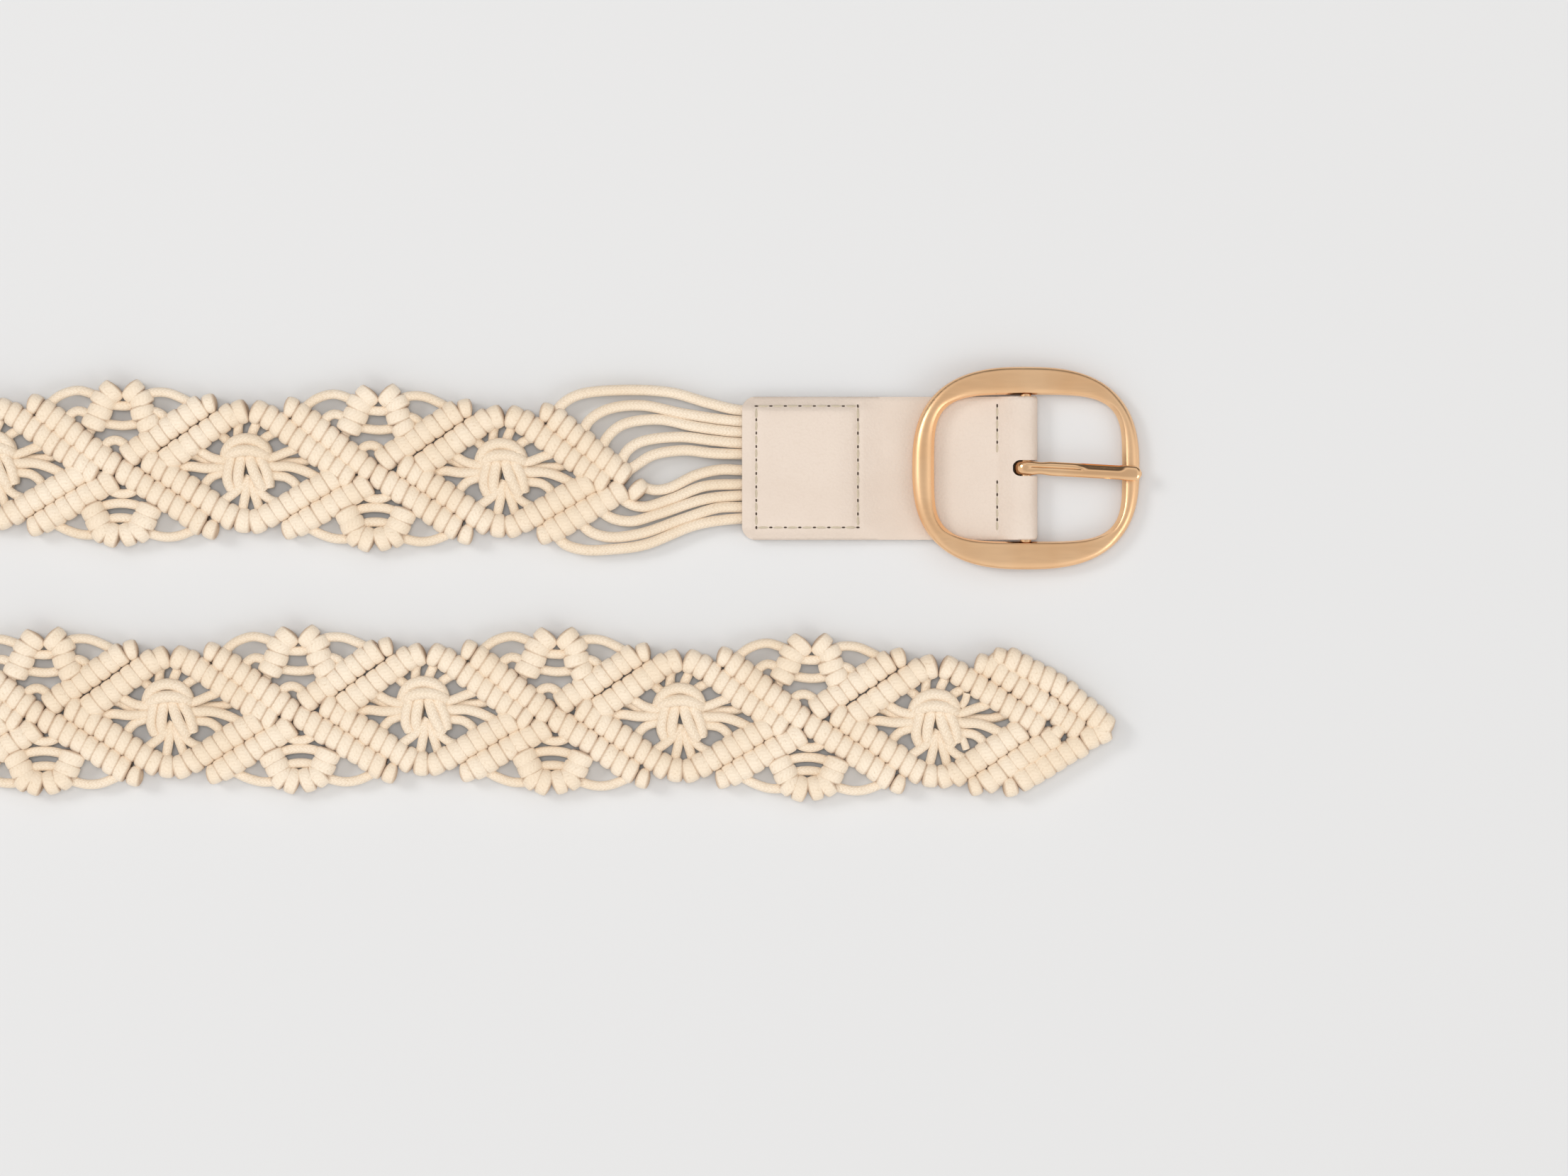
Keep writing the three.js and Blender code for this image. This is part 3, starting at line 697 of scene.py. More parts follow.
class SweepTree(GeometryTree):
    """Sweeps a round cord along each line of a mesh of edges."""

    def __init__(self) -> None:
        """Builds the tree."""
        super().__init__("sweep", {
            "Radius": ("NodeSocketFloat", 0.001),
            "Sides": ("NodeSocketInt", 12),
            "Material": ("NodeSocketMaterial", None),
        })
        add = self.book.add
        curve = add("GeometryNodeMeshToCurve", None, {"Mesh": self.given("Geometry")})
        length = add("GeometryNodeSplineParameter").outputs["Length"]
        run = self.book.math("DIVIDE", length, MM)
        marked = add("GeometryNodeStoreNamedAttribute", {"data_type": "FLOAT", "domain": "POINT"},
                     {"Geometry": curve.outputs[0], "Name": "cord_run", "Value": run})
        ring = add("GeometryNodeCurvePrimitiveCircle", None,
                   {"Resolution": self.given("Sides"), "Radius": self.given("Radius")})
        place = add("GeometryNodeInputPosition").outputs[0]
        side = add("ShaderNodeVectorMath", {"operation": "NORMALIZE"}, {0: place})
        profile = add("GeometryNodeStoreNamedAttribute", {"data_type": "FLOAT_VECTOR", "domain": "POINT"},
                      {"Geometry": ring.outputs[0], "Name": "cord_side", "Value": side.outputs[0]})
        swept = add("GeometryNodeCurveToMesh", None, {
            "Curve": marked.outputs[0], "Profile Curve": profile.outputs[0],
            "Scale": self.attribute("thickness", "FLOAT"), "Fill Caps": True,
        })
        smooth = add("GeometryNodeSetShadeSmooth", None, {"Geometry": swept.outputs[0]})
        self.close(smooth.outputs[0])


@dataclass
class Spots:
    """Points for the scatter tree."""

    places: list[Vector] = field(default_factory=list)
    turns: list[Matrix] = field(default_factory=list)
    sizes: list[Space] = field(default_factory=list)
    kinds: list[int] = field(default_factory=list)

    def put(self, place: Vector, turn: Matrix, size: Space, kind: int) -> None:
        """Args: place: millimetres. turn: its axes. size: the scale. kind: which shape."""
        self.places.append(place * MM)
        self.turns.append(turn)
        self.sizes.append(size)
        self.kinds.append(kind)

    def make(self, name: str) -> bpy.types.Object:
        """Args: name: of the object. Returns: the points with their attributes."""
        made = mesh_object(name, self.places, ())
        turns = [part for matrix in self.turns for part in matrix.to_quaternion()]
        mark(made.data, "turn", "QUATERNION", "value", turns)
        mark(made.data, "size", "FLOAT_VECTOR", "vector", [part for size in self.sizes for part in size])
        mark(made.data, "kind", "INT", "value", self.kinds)
        return made


@dataclass
class Lines:
    """Lines for the sweep tree, each with its width as a share of the cord's own."""

    places: list[Vector] = field(default_factory=list)
    links: list[tuple[int, int]] = field(default_factory=list)
    widths: list[float] = field(default_factory=list)

    def put(self, line: Sequence[Vector], width: float = 1.0) -> None:
        """Args: line: millimetres. width: share of the cord's own."""
        start = len(self.places)
        self.places += [place * MM for place in line]
        self.widths += [width] * len(line)
        self.links += [(i, i + 1) for i in range(start, start + len(line) - 1)]

    def make(self, name: str) -> bpy.types.Object:
        """Args: name: of the object. Returns: the lines with their widths."""
        made = mesh_object(name, self.places, (), self.links)
        mark(made.data, "thickness", "FLOAT", "value", self.widths)
        return made


# The band


@dataclass(frozen=True)
class BandPath:
    """How the band lies: two runs side by side, joined by a turn where it stands on its edge."""

    bar: Vector
    pitch: float = 70.2
    count: int = 12
    buckle_half: int = 5
    edge_reach: float = 24.0
    thickness: float = 7.0
    run_spacing: float = 68.6
    run_offset: float = 1.6
    first_from_bar: float = 143.5
    last_from_bar: float = 24.4
    twist: float = 85.0
    probe: float = 0.5
    drift: Mapping[int, float] = field(default_factory=lambda: {
        -1: -3.2, 0: -2.2, 1: -0.8, 8: -0.2, 9: -1.0, 10: 0.8, 11: 2.4, 12: 6.0,
    })

    @property
    def bend_radius(self) -> float:
        """Radius of the turn."""
        return self.run_spacing / 2

    @property
    def first_run(self) -> float:
        """Length of the buckle's run from the first diamond's middle to the turn."""
        straight = (self.count - 1) * self.pitch - math.pi * self.bend_radius
        return (straight - (self.first_from_bar - self.last_from_bar)) / 2

    @property
    def bend_end(self) -> float:
        """Travel where the turn ends."""
        return self.first_run + math.pi * self.bend_radius

    def drift_at(self, travel: float) -> float:
        """Args: travel: distance from the first diamond. Returns: how far out the band lies there."""
        index = math.floor(travel / self.pitch)
        t = travel / self.pitch - index
        p0, p1, p2, p3 = [self.drift.get(index + step, 0.0) for step in (-1, 0, 1, 2)]
        square = 2 * p0 - 5 * p1 + 4 * p2 - p3
        cube = 3 * p1 - p0 - 3 * p2 + p3
        return p1 + 0.5 * t * ((p2 - p0) + t * (square + t * cube))

    def plan(self, travel: float) -> Vector:
        """Args: travel: distance along the band. Returns: its middle in plan."""
        middle = self.run_offset - self.bend_radius
        bend_x = -self.first_from_bar - self.first_run
        if travel < self.first_run:
            return Vector((-self.first_from_bar - travel, self.run_offset + self.drift_at(travel), 0))
        if travel < self.bend_end:
            angle = (travel - self.first_run) / self.bend_radius
            return Vector((bend_x - self.bend_radius * math.sin(angle),
                           middle + self.bend_radius * math.cos(angle), 0))
        out = middle - self.bend_radius - self.drift_at(travel)
        return Vector((bend_x + travel - self.bend_end, out, 0))

    def edge_turn(self, travel: float) -> float:
        """Args: travel: distance along the band. Returns: how far it is turned onto its edge."""
        rising = smooth_step((travel - self.first_run + self.twist) / self.twist)
        falling = smooth_step((self.bend_end + self.twist - travel) / self.twist)
        return math.pi / 2 * min(rising, falling)

    def point(self, travel: float, outward: float, height: float) -> Vector:
        """Place of a point of the band in the part's own frame.

        Args:
            travel: distance along the band.
            outward: distance towards the outer side of the turn.
            height: distance above the band's middle face.

        Returns:
            The place, in millimetres.
        """
        along = (self.plan(travel + self.probe) - self.plan(travel - self.probe)).normalized()
        side = Vector((along.y, -along.x, 0))
        turn = self.edge_turn(travel)
        up = Vector((0, 0, 1))
        across = side * math.cos(turn) - up * math.sin(turn)
        facing = up * math.cos(turn) + side * math.sin(turn)
        lift = self.edge_reach * math.sin(turn) + self.thickness / 2 * math.cos(turn)
        return self.plan(travel) + self.bar + up * lift + across * outward + facing * height

    def diamond(self, number: int) -> Placer:
        """Args: number: of the diamond. Returns: what puts a place of its pattern on the band."""
        start = number * self.pitch
        if number < self.buckle_half:
            return lambda u, v, w: self.point(start - u, v, w)
        return lambda u, v, w: self.point(start + u, -v, w)


@dataclass(frozen=True)
class WrapShape:
    """One wrap of cord round its leader, as a closed ring."""

    wrap: Wrap
    width: float = 3.5
    depth: float = 2.5
    reach: float = 3.45
    height: float = 3.4
    slant: float = 0.0
    wide_side: float = 0.0
    waist: float = 0.16
    # where the painted crease shade starts, as the cosine round the cord's section
    crease_shade_from: float = 0.64
    outline_power: float = 2.5
    section_power: float = 2.5
    around: int = 22
    across: int = 12

    def make(self) -> bpy.types.Object:
        """Returns: the ring, which marks its cord's run and side."""
        verts: list[Vector] = []
        marks: list[float] = []
        step = math.tau * (self.reach + self.height) / 2 / self.around
        for i in range(self.around):
            angle = math.tau * (i / self.around - 0.25)
            verts += [self._corner(angle, section) * MM for section in angles(self.across)]
            marks += [i * step, (i + 1) * step, (i + 1) * step, i * step] * self.across
        faces = tube_faces(0, self.around, self.across, closed=True)
        made = mesh_object(f"wrap_{self.wrap.name.lower()}", verts, faces)
        made.data.shade_smooth()
        self._mark(made.data, marks)
        made.hide_render = True
        return made

    def _corner(self, angle: float, section: float) -> Vector:
        """Args: angle: round the leader. section: round the cord. Returns: a corner, in millimetres."""
        side, up = math.cos(angle), math.sin(angle)
        squeeze = 1.0 + self.wide_side * side - self.waist * side * side
        across = rounded(side, self.outline_power) * (self.reach - self.depth / 2)
        above = rounded(up, self.outline_power) * (self.height - self.depth / 2)
        along = rounded(math.cos(section), self.section_power) * self.width / 2 * squeeze
        out = rounded(math.sin(section), self.section_power) * self.depth / 2
        out *= 1 + 0.5 * self.wide_side * side
        return Vector((along - self.slant * side, across + side * out, above + up * out))

    def _mark(self, mesh: bpy.types.Mesh, marks: Sequence[float]) -> None:
        """Args: mesh: the ring. marks: the run at each face corner."""
        sections = angles(self.across) * self.around
        sides = [part for angle in sections for part in (math.cos(angle), math.sin(angle), 0.0)]
        # painted shade: the crease mark is 1 on the ring's sides, where neighbouring wraps meet
        fade = 1 - self.crease_shade_from
        crease_shades = [smooth_step((abs(math.cos(angle)) - self.crease_shade_from) / fade) for angle in sections]
        mark(mesh, "cord_run", "FLOAT", "value", marks, "CORNER")
        mark(mesh, "cord_side", "FLOAT_VECTOR", "vector", sides)
        mark(mesh, "crease", "FLOAT", "value", crease_shades)
        mark(mesh, "packed", "FLOAT", "value", [1.0] * len(crease_shades))


@dataclass(frozen=True)
class Row:
    """A straight row of wraps, from its first to its last."""

    start: Plane
    end: Plane
    count: int
    wrap: Wrap


@dataclass(frozen=True)
class Turn:
    """One wrap at the band's edge, where a leader turns back."""

    place: Plane
    heading: float
    size: float = 1.0


@dataclass(frozen=True)
class Strand:
    """A bare stretch of cord in the net, through places with their heights."""

    points: tuple[Space, ...]
    width: float = 1.0


@dataclass(frozen=True)
class Pattern:
    """What one diamond and the crossing beside it are knotted from, from the diamond's middle."""

    rows: tuple[Row, ...] = (
        Row((5.4, 13.2), (27.0, -2.3), 9, Wrap.BLOCK),
        Row((14.2, 14.0), (32.7, -0.4), 8, Wrap.BLOCK),
        Row((-27.0, 0.6), (-4.9, -14.2), 9, Wrap.BLOCK),
        Row((-34.2, -2.4), (-13.6, -15.7), 8, Wrap.BLOCK),
        Row((5.8, -13.7), (22.6, -3.4), 7, Wrap.COIL),
        Row((14.2, -16.0), (31.6, -5.2), 7, Wrap.COIL),
        Row((-21.8, 1.6), (-5.4, 13.6), 7, Wrap.COIL),
        Row((-32.6, 2.6), (-14.4, 15.4), 8, Wrap.COIL),
    )
    turns: tuple[Turn, ...] = (
        Turn((-2.5, 14.5), 28.0), Turn((2.3, 14.4), -30.0),
        Turn((-11.0, 16.7), 18.0, 0.84), Turn((11.2, 16.0), -22.0, 0.84),
        Turn((-1.2, -15.1), -6.0), Turn((2.4, -15.2), 24.0),
        Turn((-10.1, -17.7), -18.0, 0.84), Turn((11.4, -17.3), 22.0, 0.84),
    )
    strands: tuple[Strand, ...] = (
        Strand(((-6.6, 2.0, -1.4), (-6.4, 3.3, 0.4), (-5.1, 5.6, 1.5), (-3.0, 6.9, 1.9), (-0.7, 7.3, 2.0),
                (1.9, 6.8, 1.9), (3.8, 5.4, 1.5), (4.8, 3.4, 0.2), (4.9, 2.2, -1.4)), 1.22),
        Strand(((-6.4, 1.4, -1.2), (-5.6, 2.7, 0.9), (-3.2, 3.8, 2.3), (-0.6, 4.2, 2.6), (2.3, 3.9, 2.4),
                (4.6, 2.9, 1.2), (5.4, 1.6, -0.8)), 1.24),
        Strand(((-4.0, 4.0, 0.6), (-4.6, 1.9, 1.2), (-5.5, -1.8, 1.4), (-5.5, -4.4, 1.0),
                (-4.6, -6.4, 0.2)), 1.12),
        Strand(((-1.7, 4.0, 0.8), (-1.9, 2.0, 1.4), (-2.6, -1.8, 1.6), (-2.7, -4.2, 1.1),
                (-2.3, -6.0, 0.2)), 1.16),
        Strand(((0.5, 4.0, 0.8), (0.6, 2.0, 1.5), (1.7, -1.8, 1.9), (3.2, -4.8, 1.6),
                (4.2, -6.6, 0.5)), 1.2),
        Strand(((2.7, 4.0, 0.6), (3.0, 2.2, 1.3), (4.7, -0.8, 1.6), (5.5, -3.6, 1.3),
                (5.6, -5.6, 0.4)), 1.14),
        Strand(((0.2, -3.0, 0.2), (-1.9, -5.8, 0.6), (-4.4, -8.0, 0.7), (-7.6, -10.4, 0.1),
                (-9.4, -12.0, -0.8))),
        Strand(((0.0, -3.0, 0.0), (-0.6, -6.4, 0.5), (-1.2, -9.6, 0.4), (-2.0, -13.4, -0.8))),
        Strand(((1.0, -3.0, 0.0), (1.4, -6.2, 0.4), (2.4, -9.2, 0.3), (3.6, -13.0, -0.8))),
        Strand(((2.0, -4.6, 0.2), (3.6, -7.2, 0.6), (6.2, -9.2, 0.5), (9.4, -10.2, -0.1),
                (11.2, -11.0, -0.8)), 0.94),
        Strand(((-16.4, 7.4, -1.2), (-14.4, 4.6, -0.2), (-10.6, 2.1, 0.4), (-6.6, 1.2, 0.6),
                (-3.0, 1.0, 0.2))),
        Strand(((-20.2, -1.6, -1.2), (-16.6, -0.6, -0.1), (-12.0, -1.0, 0.6), (-7.6, -0.8, 0.6),
                (-3.5, -0.6, 0.2)), 1.04),
        Strand(((-13.9, -8.4, -1.4), (-12.4, -6.0, -0.6), (-10.0, -3.4, 0.0), (-6.6, -2.2, 0.3),
                (-3.6, -1.6, 0.0))),
        Strand(((-19.4, 3.6, -1.6), (-15.0, 2.6, -1.4), (-11.0, 0.8, -1.0), (-6.0, 0.4, -0.6))),
        Strand(((3.5, 1.6, 0.2), (7.0, 2.4, 0.6), (10.6, 3.9, 0.6), (13.0, 4.8, 0.2), (15.4, 6.6, -1.0))),
        Strand(((3.5, 0.0, 0.2), (7.0, -0.4, 0.9), (11.0, -0.3, 1.0), (14.8, -1.3, 0.7), (18.4, -3.0, 0.0),
                (20.8, -4.6, -1.0)), 1.05),
        Strand(((4.0, -2.0, 0.0), (7.0, -2.8, 0.3), (10.4, -3.3, 0.3), (12.8, -5.0, 0.0),
                (14.0, -7.4, -0.8),
                (14.6, -9.2, -1.4))),
        Strand(((6.0, 0.6, -0.8), (10.5, 1.2, -1.1), (14.2, 1.4, -1.2), (18.2, 2.6, -1.6),
                (20.6, 3.7, -2.0))),
        Strand(((-2.4, 13.2, -1.2), (-3.2, 11.2, -0.5), (-3.3, 9.2, -0.1), (-3.4, 6.8, -0.6))),
        Strand(((-10.6, 11.0, -1.2), (-8.8, 9.0, -0.5), (-6.6, 7.0, -0.2), (-4.6, 5.4, -0.6))),
        Strand(((2.3, 13.0, -1.0), (1.5, 11.0, -0.2), (0.6, 8.8, 0.0), (0.4, 6.4, -0.4))),
        Strand(((8.6, 10.2, -1.2), (6.4, 8.8, -0.4), (4.2, 7.4, -0.2), (2.6, 5.0, -0.6))),
    )
    back_strands: tuple[int, ...] = (0, 1, 2, 3, 4, 5)


@dataclass(frozen=True)
class PicotPattern:
    """The picots of a crossing and the cords beside them, from the crossing's middle."""

    legs: tuple[tuple[Plane, ...], ...] = (
        ((-7.6, 11.2), (-6.1, 14.2), (-5.1, 17.3), (-3.0, 19.7)),
        ((7.3, 11.1), (5.7, 14.2), (5.3, 17.5), (3.0, 19.9)),
        ((-7.6, -13.2), (-6.2, -15.9), (-5.0, -18.6), (-2.2, -19.7)),
        ((7.6, -12.9), (6.3, -15.8), (4.9, -18.5), (1.9, -19.5)),
    )
    strands: tuple[Strand, ...] = (
        Strand(((-6.5, 11.6, -0.6), (-3.0, 10.9, -0.3), (0.4, 10.6, -0.2), (3.6, 11.0, -0.3),
                (6.6, 11.6, -0.6))),
        Strand(((-4.6, 16.2, -0.6), (-2.0, 15.9, 0.0), (1.4, 15.8, 0.0), (4.8, 16.4, -0.6))),
        Strand(((-23.6, 13.6, -1.2), (-20.6, 15.8, -0.2), (-16.7, 18.8, 0.2), (-12.1, 20.1, 0.2),
                (-8.6, 19.3, 0.0),
                (-5.0, 17.6, -0.6))),
        Strand(((5.0, 18.4, -0.6), (8.2, 19.7, 0.0), (12.4, 19.7, 0.2), (16.4, 18.2, 0.0),
                (20.4, 16.0, -0.6),
                (22.6, 14.8, -1.2))),
        Strand(((-20.6, -15.4, -1.2), (-17.4, -17.4, -0.2), (-14.4, -18.8, 0.1), (-10.7, -19.8, 0.1),
                (-7.0, -19.6, -0.2), (-4.4, -18.2, -0.8))),
        Strand(((4.6, -17.6, -0.8), (8.0, -19.2, -0.1), (12.0, -20.1, 0.1), (15.6, -19.8, 0.1),
                (19.2, -18.4, -0.2),
                (22.2, -16.6, -1.0))),
        Strand(((-15.8, 10.2, -0.8), (-14.4, 13.0, 0.2), (-11.9, 14.5, 0.5), (-9.2, 13.6, 0.3),
                (-7.2, 11.6, -0.4))),
        Strand(((6.4, 12.6, -0.4), (8.6, 14.2, 0.2), (10.8, 13.6, 0.2), (12.8, 11.2, -0.8))),
        Strand(((-7.0, -12.6, -0.6), (-4.0, -11.4, -0.1), (0.0, -10.9, 0.0), (4.0, -11.4, -0.1),
                (7.0, -12.6, -0.6))),
        Strand(((-4.8, -15.9, -0.6), (-2.0, -15.0, 0.0), (1.6, -14.9, 0.0), (4.8, -15.7, -0.6))),
        Strand(((-5.6, 3.0, -0.6), (-3.8, 5.6, 0.4), (-1.4, 6.2, 0.5), (1.4, 4.6, 0.0), (2.8, 2.4, -0.8))),
        Strand(((-5.0, -5.2, -0.8), (-2.8, -7.6, 0.1), (0.6, -8.4, 0.2), (3.6, -7.4, 0.0),
                (5.8, -4.6, -0.8))),
        Strand(((-10.2, 6.6, -1.0), (-8.8, 9.0, -0.6), (-7.4, 11.0, -0.6))),
        Strand(((10.4, 6.6, -1.0), (8.8, 9.0, -0.6), (7.2, 11.0, -0.6))),
        Strand(((-10.8, -9.6, -1.0), (-9.4, -12.0, -0.5), (-7.8, -14.0, -0.6))),
        Strand(((10.2, -9.8, -1.0), (9.2, -12.0, -0.5), (7.8, -13.6, -0.6))),
    )


@dataclass(frozen=True)
class TailPattern:
    """The rows on the last diamond's far side and those that close the band, from its middle."""

    rows: tuple[Row, ...] = (
        Row((5.4, 13.1), (27.4, 0.5), 9, Wrap.BLOCK),
        Row((13.8, 15.8), (33.3, 3.6), 8, Wrap.BLOCK),
        Row((35.8, 2.1), (38.2, 0.6), 2, Wrap.BLOCK),
        Row((19.5, 17.5), (32.6, 11.7), 5, Wrap.BLOCK),
        Row((35.4, 9.8), (46.2, 1.6), 5, Wrap.BLOCK),
        Row((5.9, -14.6), (22.4, -1.9), 7, Wrap.COIL),
        Row((15.0, -15.9), (31.4, -3.0), 7, Wrap.COIL),
        Row((24.7, -14.6), (38.9, -4.6), 6, Wrap.COIL),
        Row((41.9, -1.9), (45.2, -0.2), 2, Wrap.COIL),
    )
    turns: tuple[Turn, ...] = (
        Turn((15.9, 18.1), -16.0, 0.86), Turn((21.3, -16.9), 20.0, 0.86), Turn((33.0, -0.9), -35.0, 0.86),
    )
    frayed_ends: tuple[Strand, ...] = (
        Strand(((6.4, 4.0, 0.4), (7.4, 5.6, 0.9), (7.8, 7.6, 0.8)), 0.8),
        Strand(((6.8, -3.8, 0.4), (7.8, -5.4, 0.8), (8.6, -7.4, 0.7)), 0.8),
    )


@dataclass
class NetBand:
    """The knotted band: wraps round their leaders, and the bare cords between them."""

    path: BandPath
    cord: float = 2.65
    pattern: Pattern = field(default_factory=Pattern)
    picots: PicotPattern = field(default_factory=PicotPattern)
    tail: TailPattern = field(default_factory=TailPattern)
    strand_step: float = 1.0
    strand_sides: int = 12
    strand_shake: float = 0.2
    leader_width: float = 1.15
    leader_over: float = 0.6
    leader_step: float = 3.0
    wrap_spacing: float = 3.25
    turn_jitter: float = 0.06
    size_jitter: float = 0.045
    seed: int = 11
    shake_seed: int = 100
    back_share: float = 0.7
    picot_size: Space = (1.02, 1.0, 0.96)
    picot_step: float = 2.0
    first_knot: Space = (36.8, -4.6, -52.0)
    first_knot_size: Space = (1.1, 0.9, 0.95)
    groups: tuple[tuple[int, int], ...] = ((0, 3), (3, 5), (5, 8), (8, 10), (10, 12))
    shapes: tuple[WrapShape, ...] = (
        WrapShape(Wrap.BLOCK, width=4.05, reach=3.55, slant=0.35),
        WrapShape(Wrap.COIL, width=4.2, reach=3.5, slant=0.15, section_power=3.2, outline_power=2.4),
        WrapShape(Wrap.TURN, width=4.5, reach=3.4, height=3.3, wide_side=0.16),
    )

    def build(self, cotton: bpy.types.Material) -> None:
        """Args: cotton: the cord's material."""
        scatter, sweep = ScatterTree(), SweepTree()
        templates = [shape.make() for shape in self.shapes]
        for first, after in self.groups:
            node = "band_buckle_half" if first < self.path.buckle_half else "band_tail_half"
            spots, lines = Spots(), Lines()
            for number in range(first, after):
                self._diamond(number, spots, lines)
            label = f"{first + 1:02d}_to_{after:02d}"
            values: dict[str, Any] = dict(zip(ScatterTree.SHAPES, templates))
            values |= {"Turn Jitter": self.turn_jitter, "Size Jitter": self.size_jitter,
                       "Seed": self.seed + first, "Material": cotton}
            dress(scatter.apply(spots.make(f"hitches_{label}"), values), Body.STRAP, Slot.COTTON, node)
            values = {"Radius": self.cord / 2 * MM, "Sides": self.strand_sides, "Material": cotton}
            dress(sweep.apply(lines.make(f"strands_{label}"), values), Body.STRAP, Slot.COTTON, node)
        for template in templates:
            bpy.data.objects.remove(template)

    def _diamond(self, number: int, spots: Spots, lines: Lines) -> None:
        """Args: number: of the diamond. spots: gets its wraps. lines: gets its strands."""
        place = self.path.diamond(number)
        rng = random.Random(self.shake_seed + number)
        for row in self.pattern.rows:
            if number < self.path.count - 1 or row.start[0] < 0:
                self._row(row, place, spots, lines)
        for turn in self.pattern.turns:
            self._turn(turn, place, spots)
        for i, strand in enumerate(self.pattern.strands):
            self._strand(strand, place, lines, rng)
            if i in self.pattern.back_strands:
                behind: Placer = lambda u, v, w: place(u, v, -w * self.back_share)
                self._strand(strand, behind, lines, rng)
        for along in self._crossings(number):
            self._crossing(along, place, spots, lines, rng)
        if number == self.path.count - 1:
            self._tail(place, spots, lines, rng)
        if number == 0:
            self._first_end(place, spots)

    def _crossings(self, number: int) -> list[float]:
        """Args: number: of a diamond. Returns: how far along the crossings that it owns lie."""
        half = self.path.pitch / 2
        if number == 0:
            return []
        if number < self.path.buckle_half:
            return [half, -half] if number == self.path.buckle_half - 1 else [half]
        return [half] if number < self.path.count - 1 else []

    def _axes(self, place: Placer, u: float, v: float, heading: float) -> Matrix:
        """Args: place: the placer. u, v: where. heading: radians in the pattern. Returns: the axes."""
        du, dv = math.cos(heading) / 2, math.sin(heading) / 2
        along = (place(u + du, v + dv, 0) - place(u - du, v - dv, 0)).normalized()
        up = place(u, v, 0.5) - place(u, v, -0.5)
        side = up.cross(along).normalized()
        return Matrix((along, side, along.cross(side))).transposed()

    def _row(self, row: Row, place: Placer, spots: Spots, lines: Lines) -> None:
        """Args: row: the row. place: the placer. spots: gets the wraps. lines: gets the leader."""
        start, end = Vector(row.start), Vector(row.end)
        step = (end - start) / (row.count - 1)
        heading = math.atan2(step.y, step.x)
        size = (step.length / self.wrap_spacing, 1.0, 1.0)
        for i in range(row.count):
            at = start + step * i
            spots.put(place(at.x, at.y, 0), self._axes(place, at.x, at.y, heading), size, row.wrap.value)
        over = step * self.leader_over
        ends = (start - over, start, (start + end) / 2, end, end + over)
        lines.put(smooth_line([place(p.x, p.y, 0) for p in ends], self.leader_step), self.leader_width)

    def _turn(self, turn: Turn, place: Placer, spots: Spots) -> None:
        """Args: turn: the wrap at the edge. place: the placer. spots: gets it."""
        u, v = turn.place
        heading = math.radians(turn.heading) + (0.0 if v > 0 else math.pi)
        size = (turn.size, turn.size, 1.0)
        spots.put(place(u, v, 0), self._axes(place, u, v, heading), size, Wrap.TURN.value)

    def _strand(self, strand: Strand, place: Placer, lines: Lines, rng: random.Random) -> None:
        """Args: strand: the cord. place: the placer. lines: gets it. rng: moves it a little."""
        du, dv, dw = [rng.uniform(-self.strand_shake, self.strand_shake) for _ in range(3)]
        points = [place(u + du, v + dv, w + dw * 0.5) for u, v, w in strand.points]
        lines.put(smooth_line(points, self.strand_step), strand.width)

    def _crossing(self, along: float, place: Placer, spots: Spots, lines: Lines,
                  rng: random.Random) -> None:
        """Args: along: how far from the diamond's middle. place, spots, lines, rng: as above."""
        shifted: Placer = lambda u, v, w: place(u + along, v, w)
        for leg in self.picots.legs:
            points = [Vector(p) for p in leg]
            for i, at in enumerate(points):
                ahead = points[min(i + 1, len(points) - 1)] - points[max(i - 1, 0)]
                axes = self._axes(shifted, at.x, at.y, math.atan2(ahead.y, ahead.x))
                spots.put(shifted(at.x, at.y, 0), axes, self.picot_size, Wrap.COIL.value)
            inner = points[0] * 1.5 - points[1] * 0.5
            leader = [shifted(p.x, p.y, 0) for p in (inner, *points)]
            lines.put(smooth_line(leader, self.picot_step), self.leader_width)
        for strand in self.picots.strands:
            self._strand(strand, shifted, lines, rng)

    def _tail(self, place: Placer, spots: Spots, lines: Lines, rng: random.Random) -> None:
        """Args: place, spots, lines, rng: as above, for the last diamond."""
        for row in self.tail.rows:
            self._row(row, place, spots, lines)
        for turn in self.tail.turns:
            self._turn(turn, place, spots)
        for strand in self.tail.frayed_ends:
            self._strand(strand, place, lines, rng)

    def _first_end(self, place: Placer, spots: Spots) -> None:
        """Args: place, spots: as above, for the first diamond, whose rows end in one knot."""
        u, v, heading = self.first_knot
        axes = self._axes(place, u, v, math.radians(heading))
        spots.put(place(u, v, 0), axes, self.first_knot_size, Wrap.BLOCK.value)


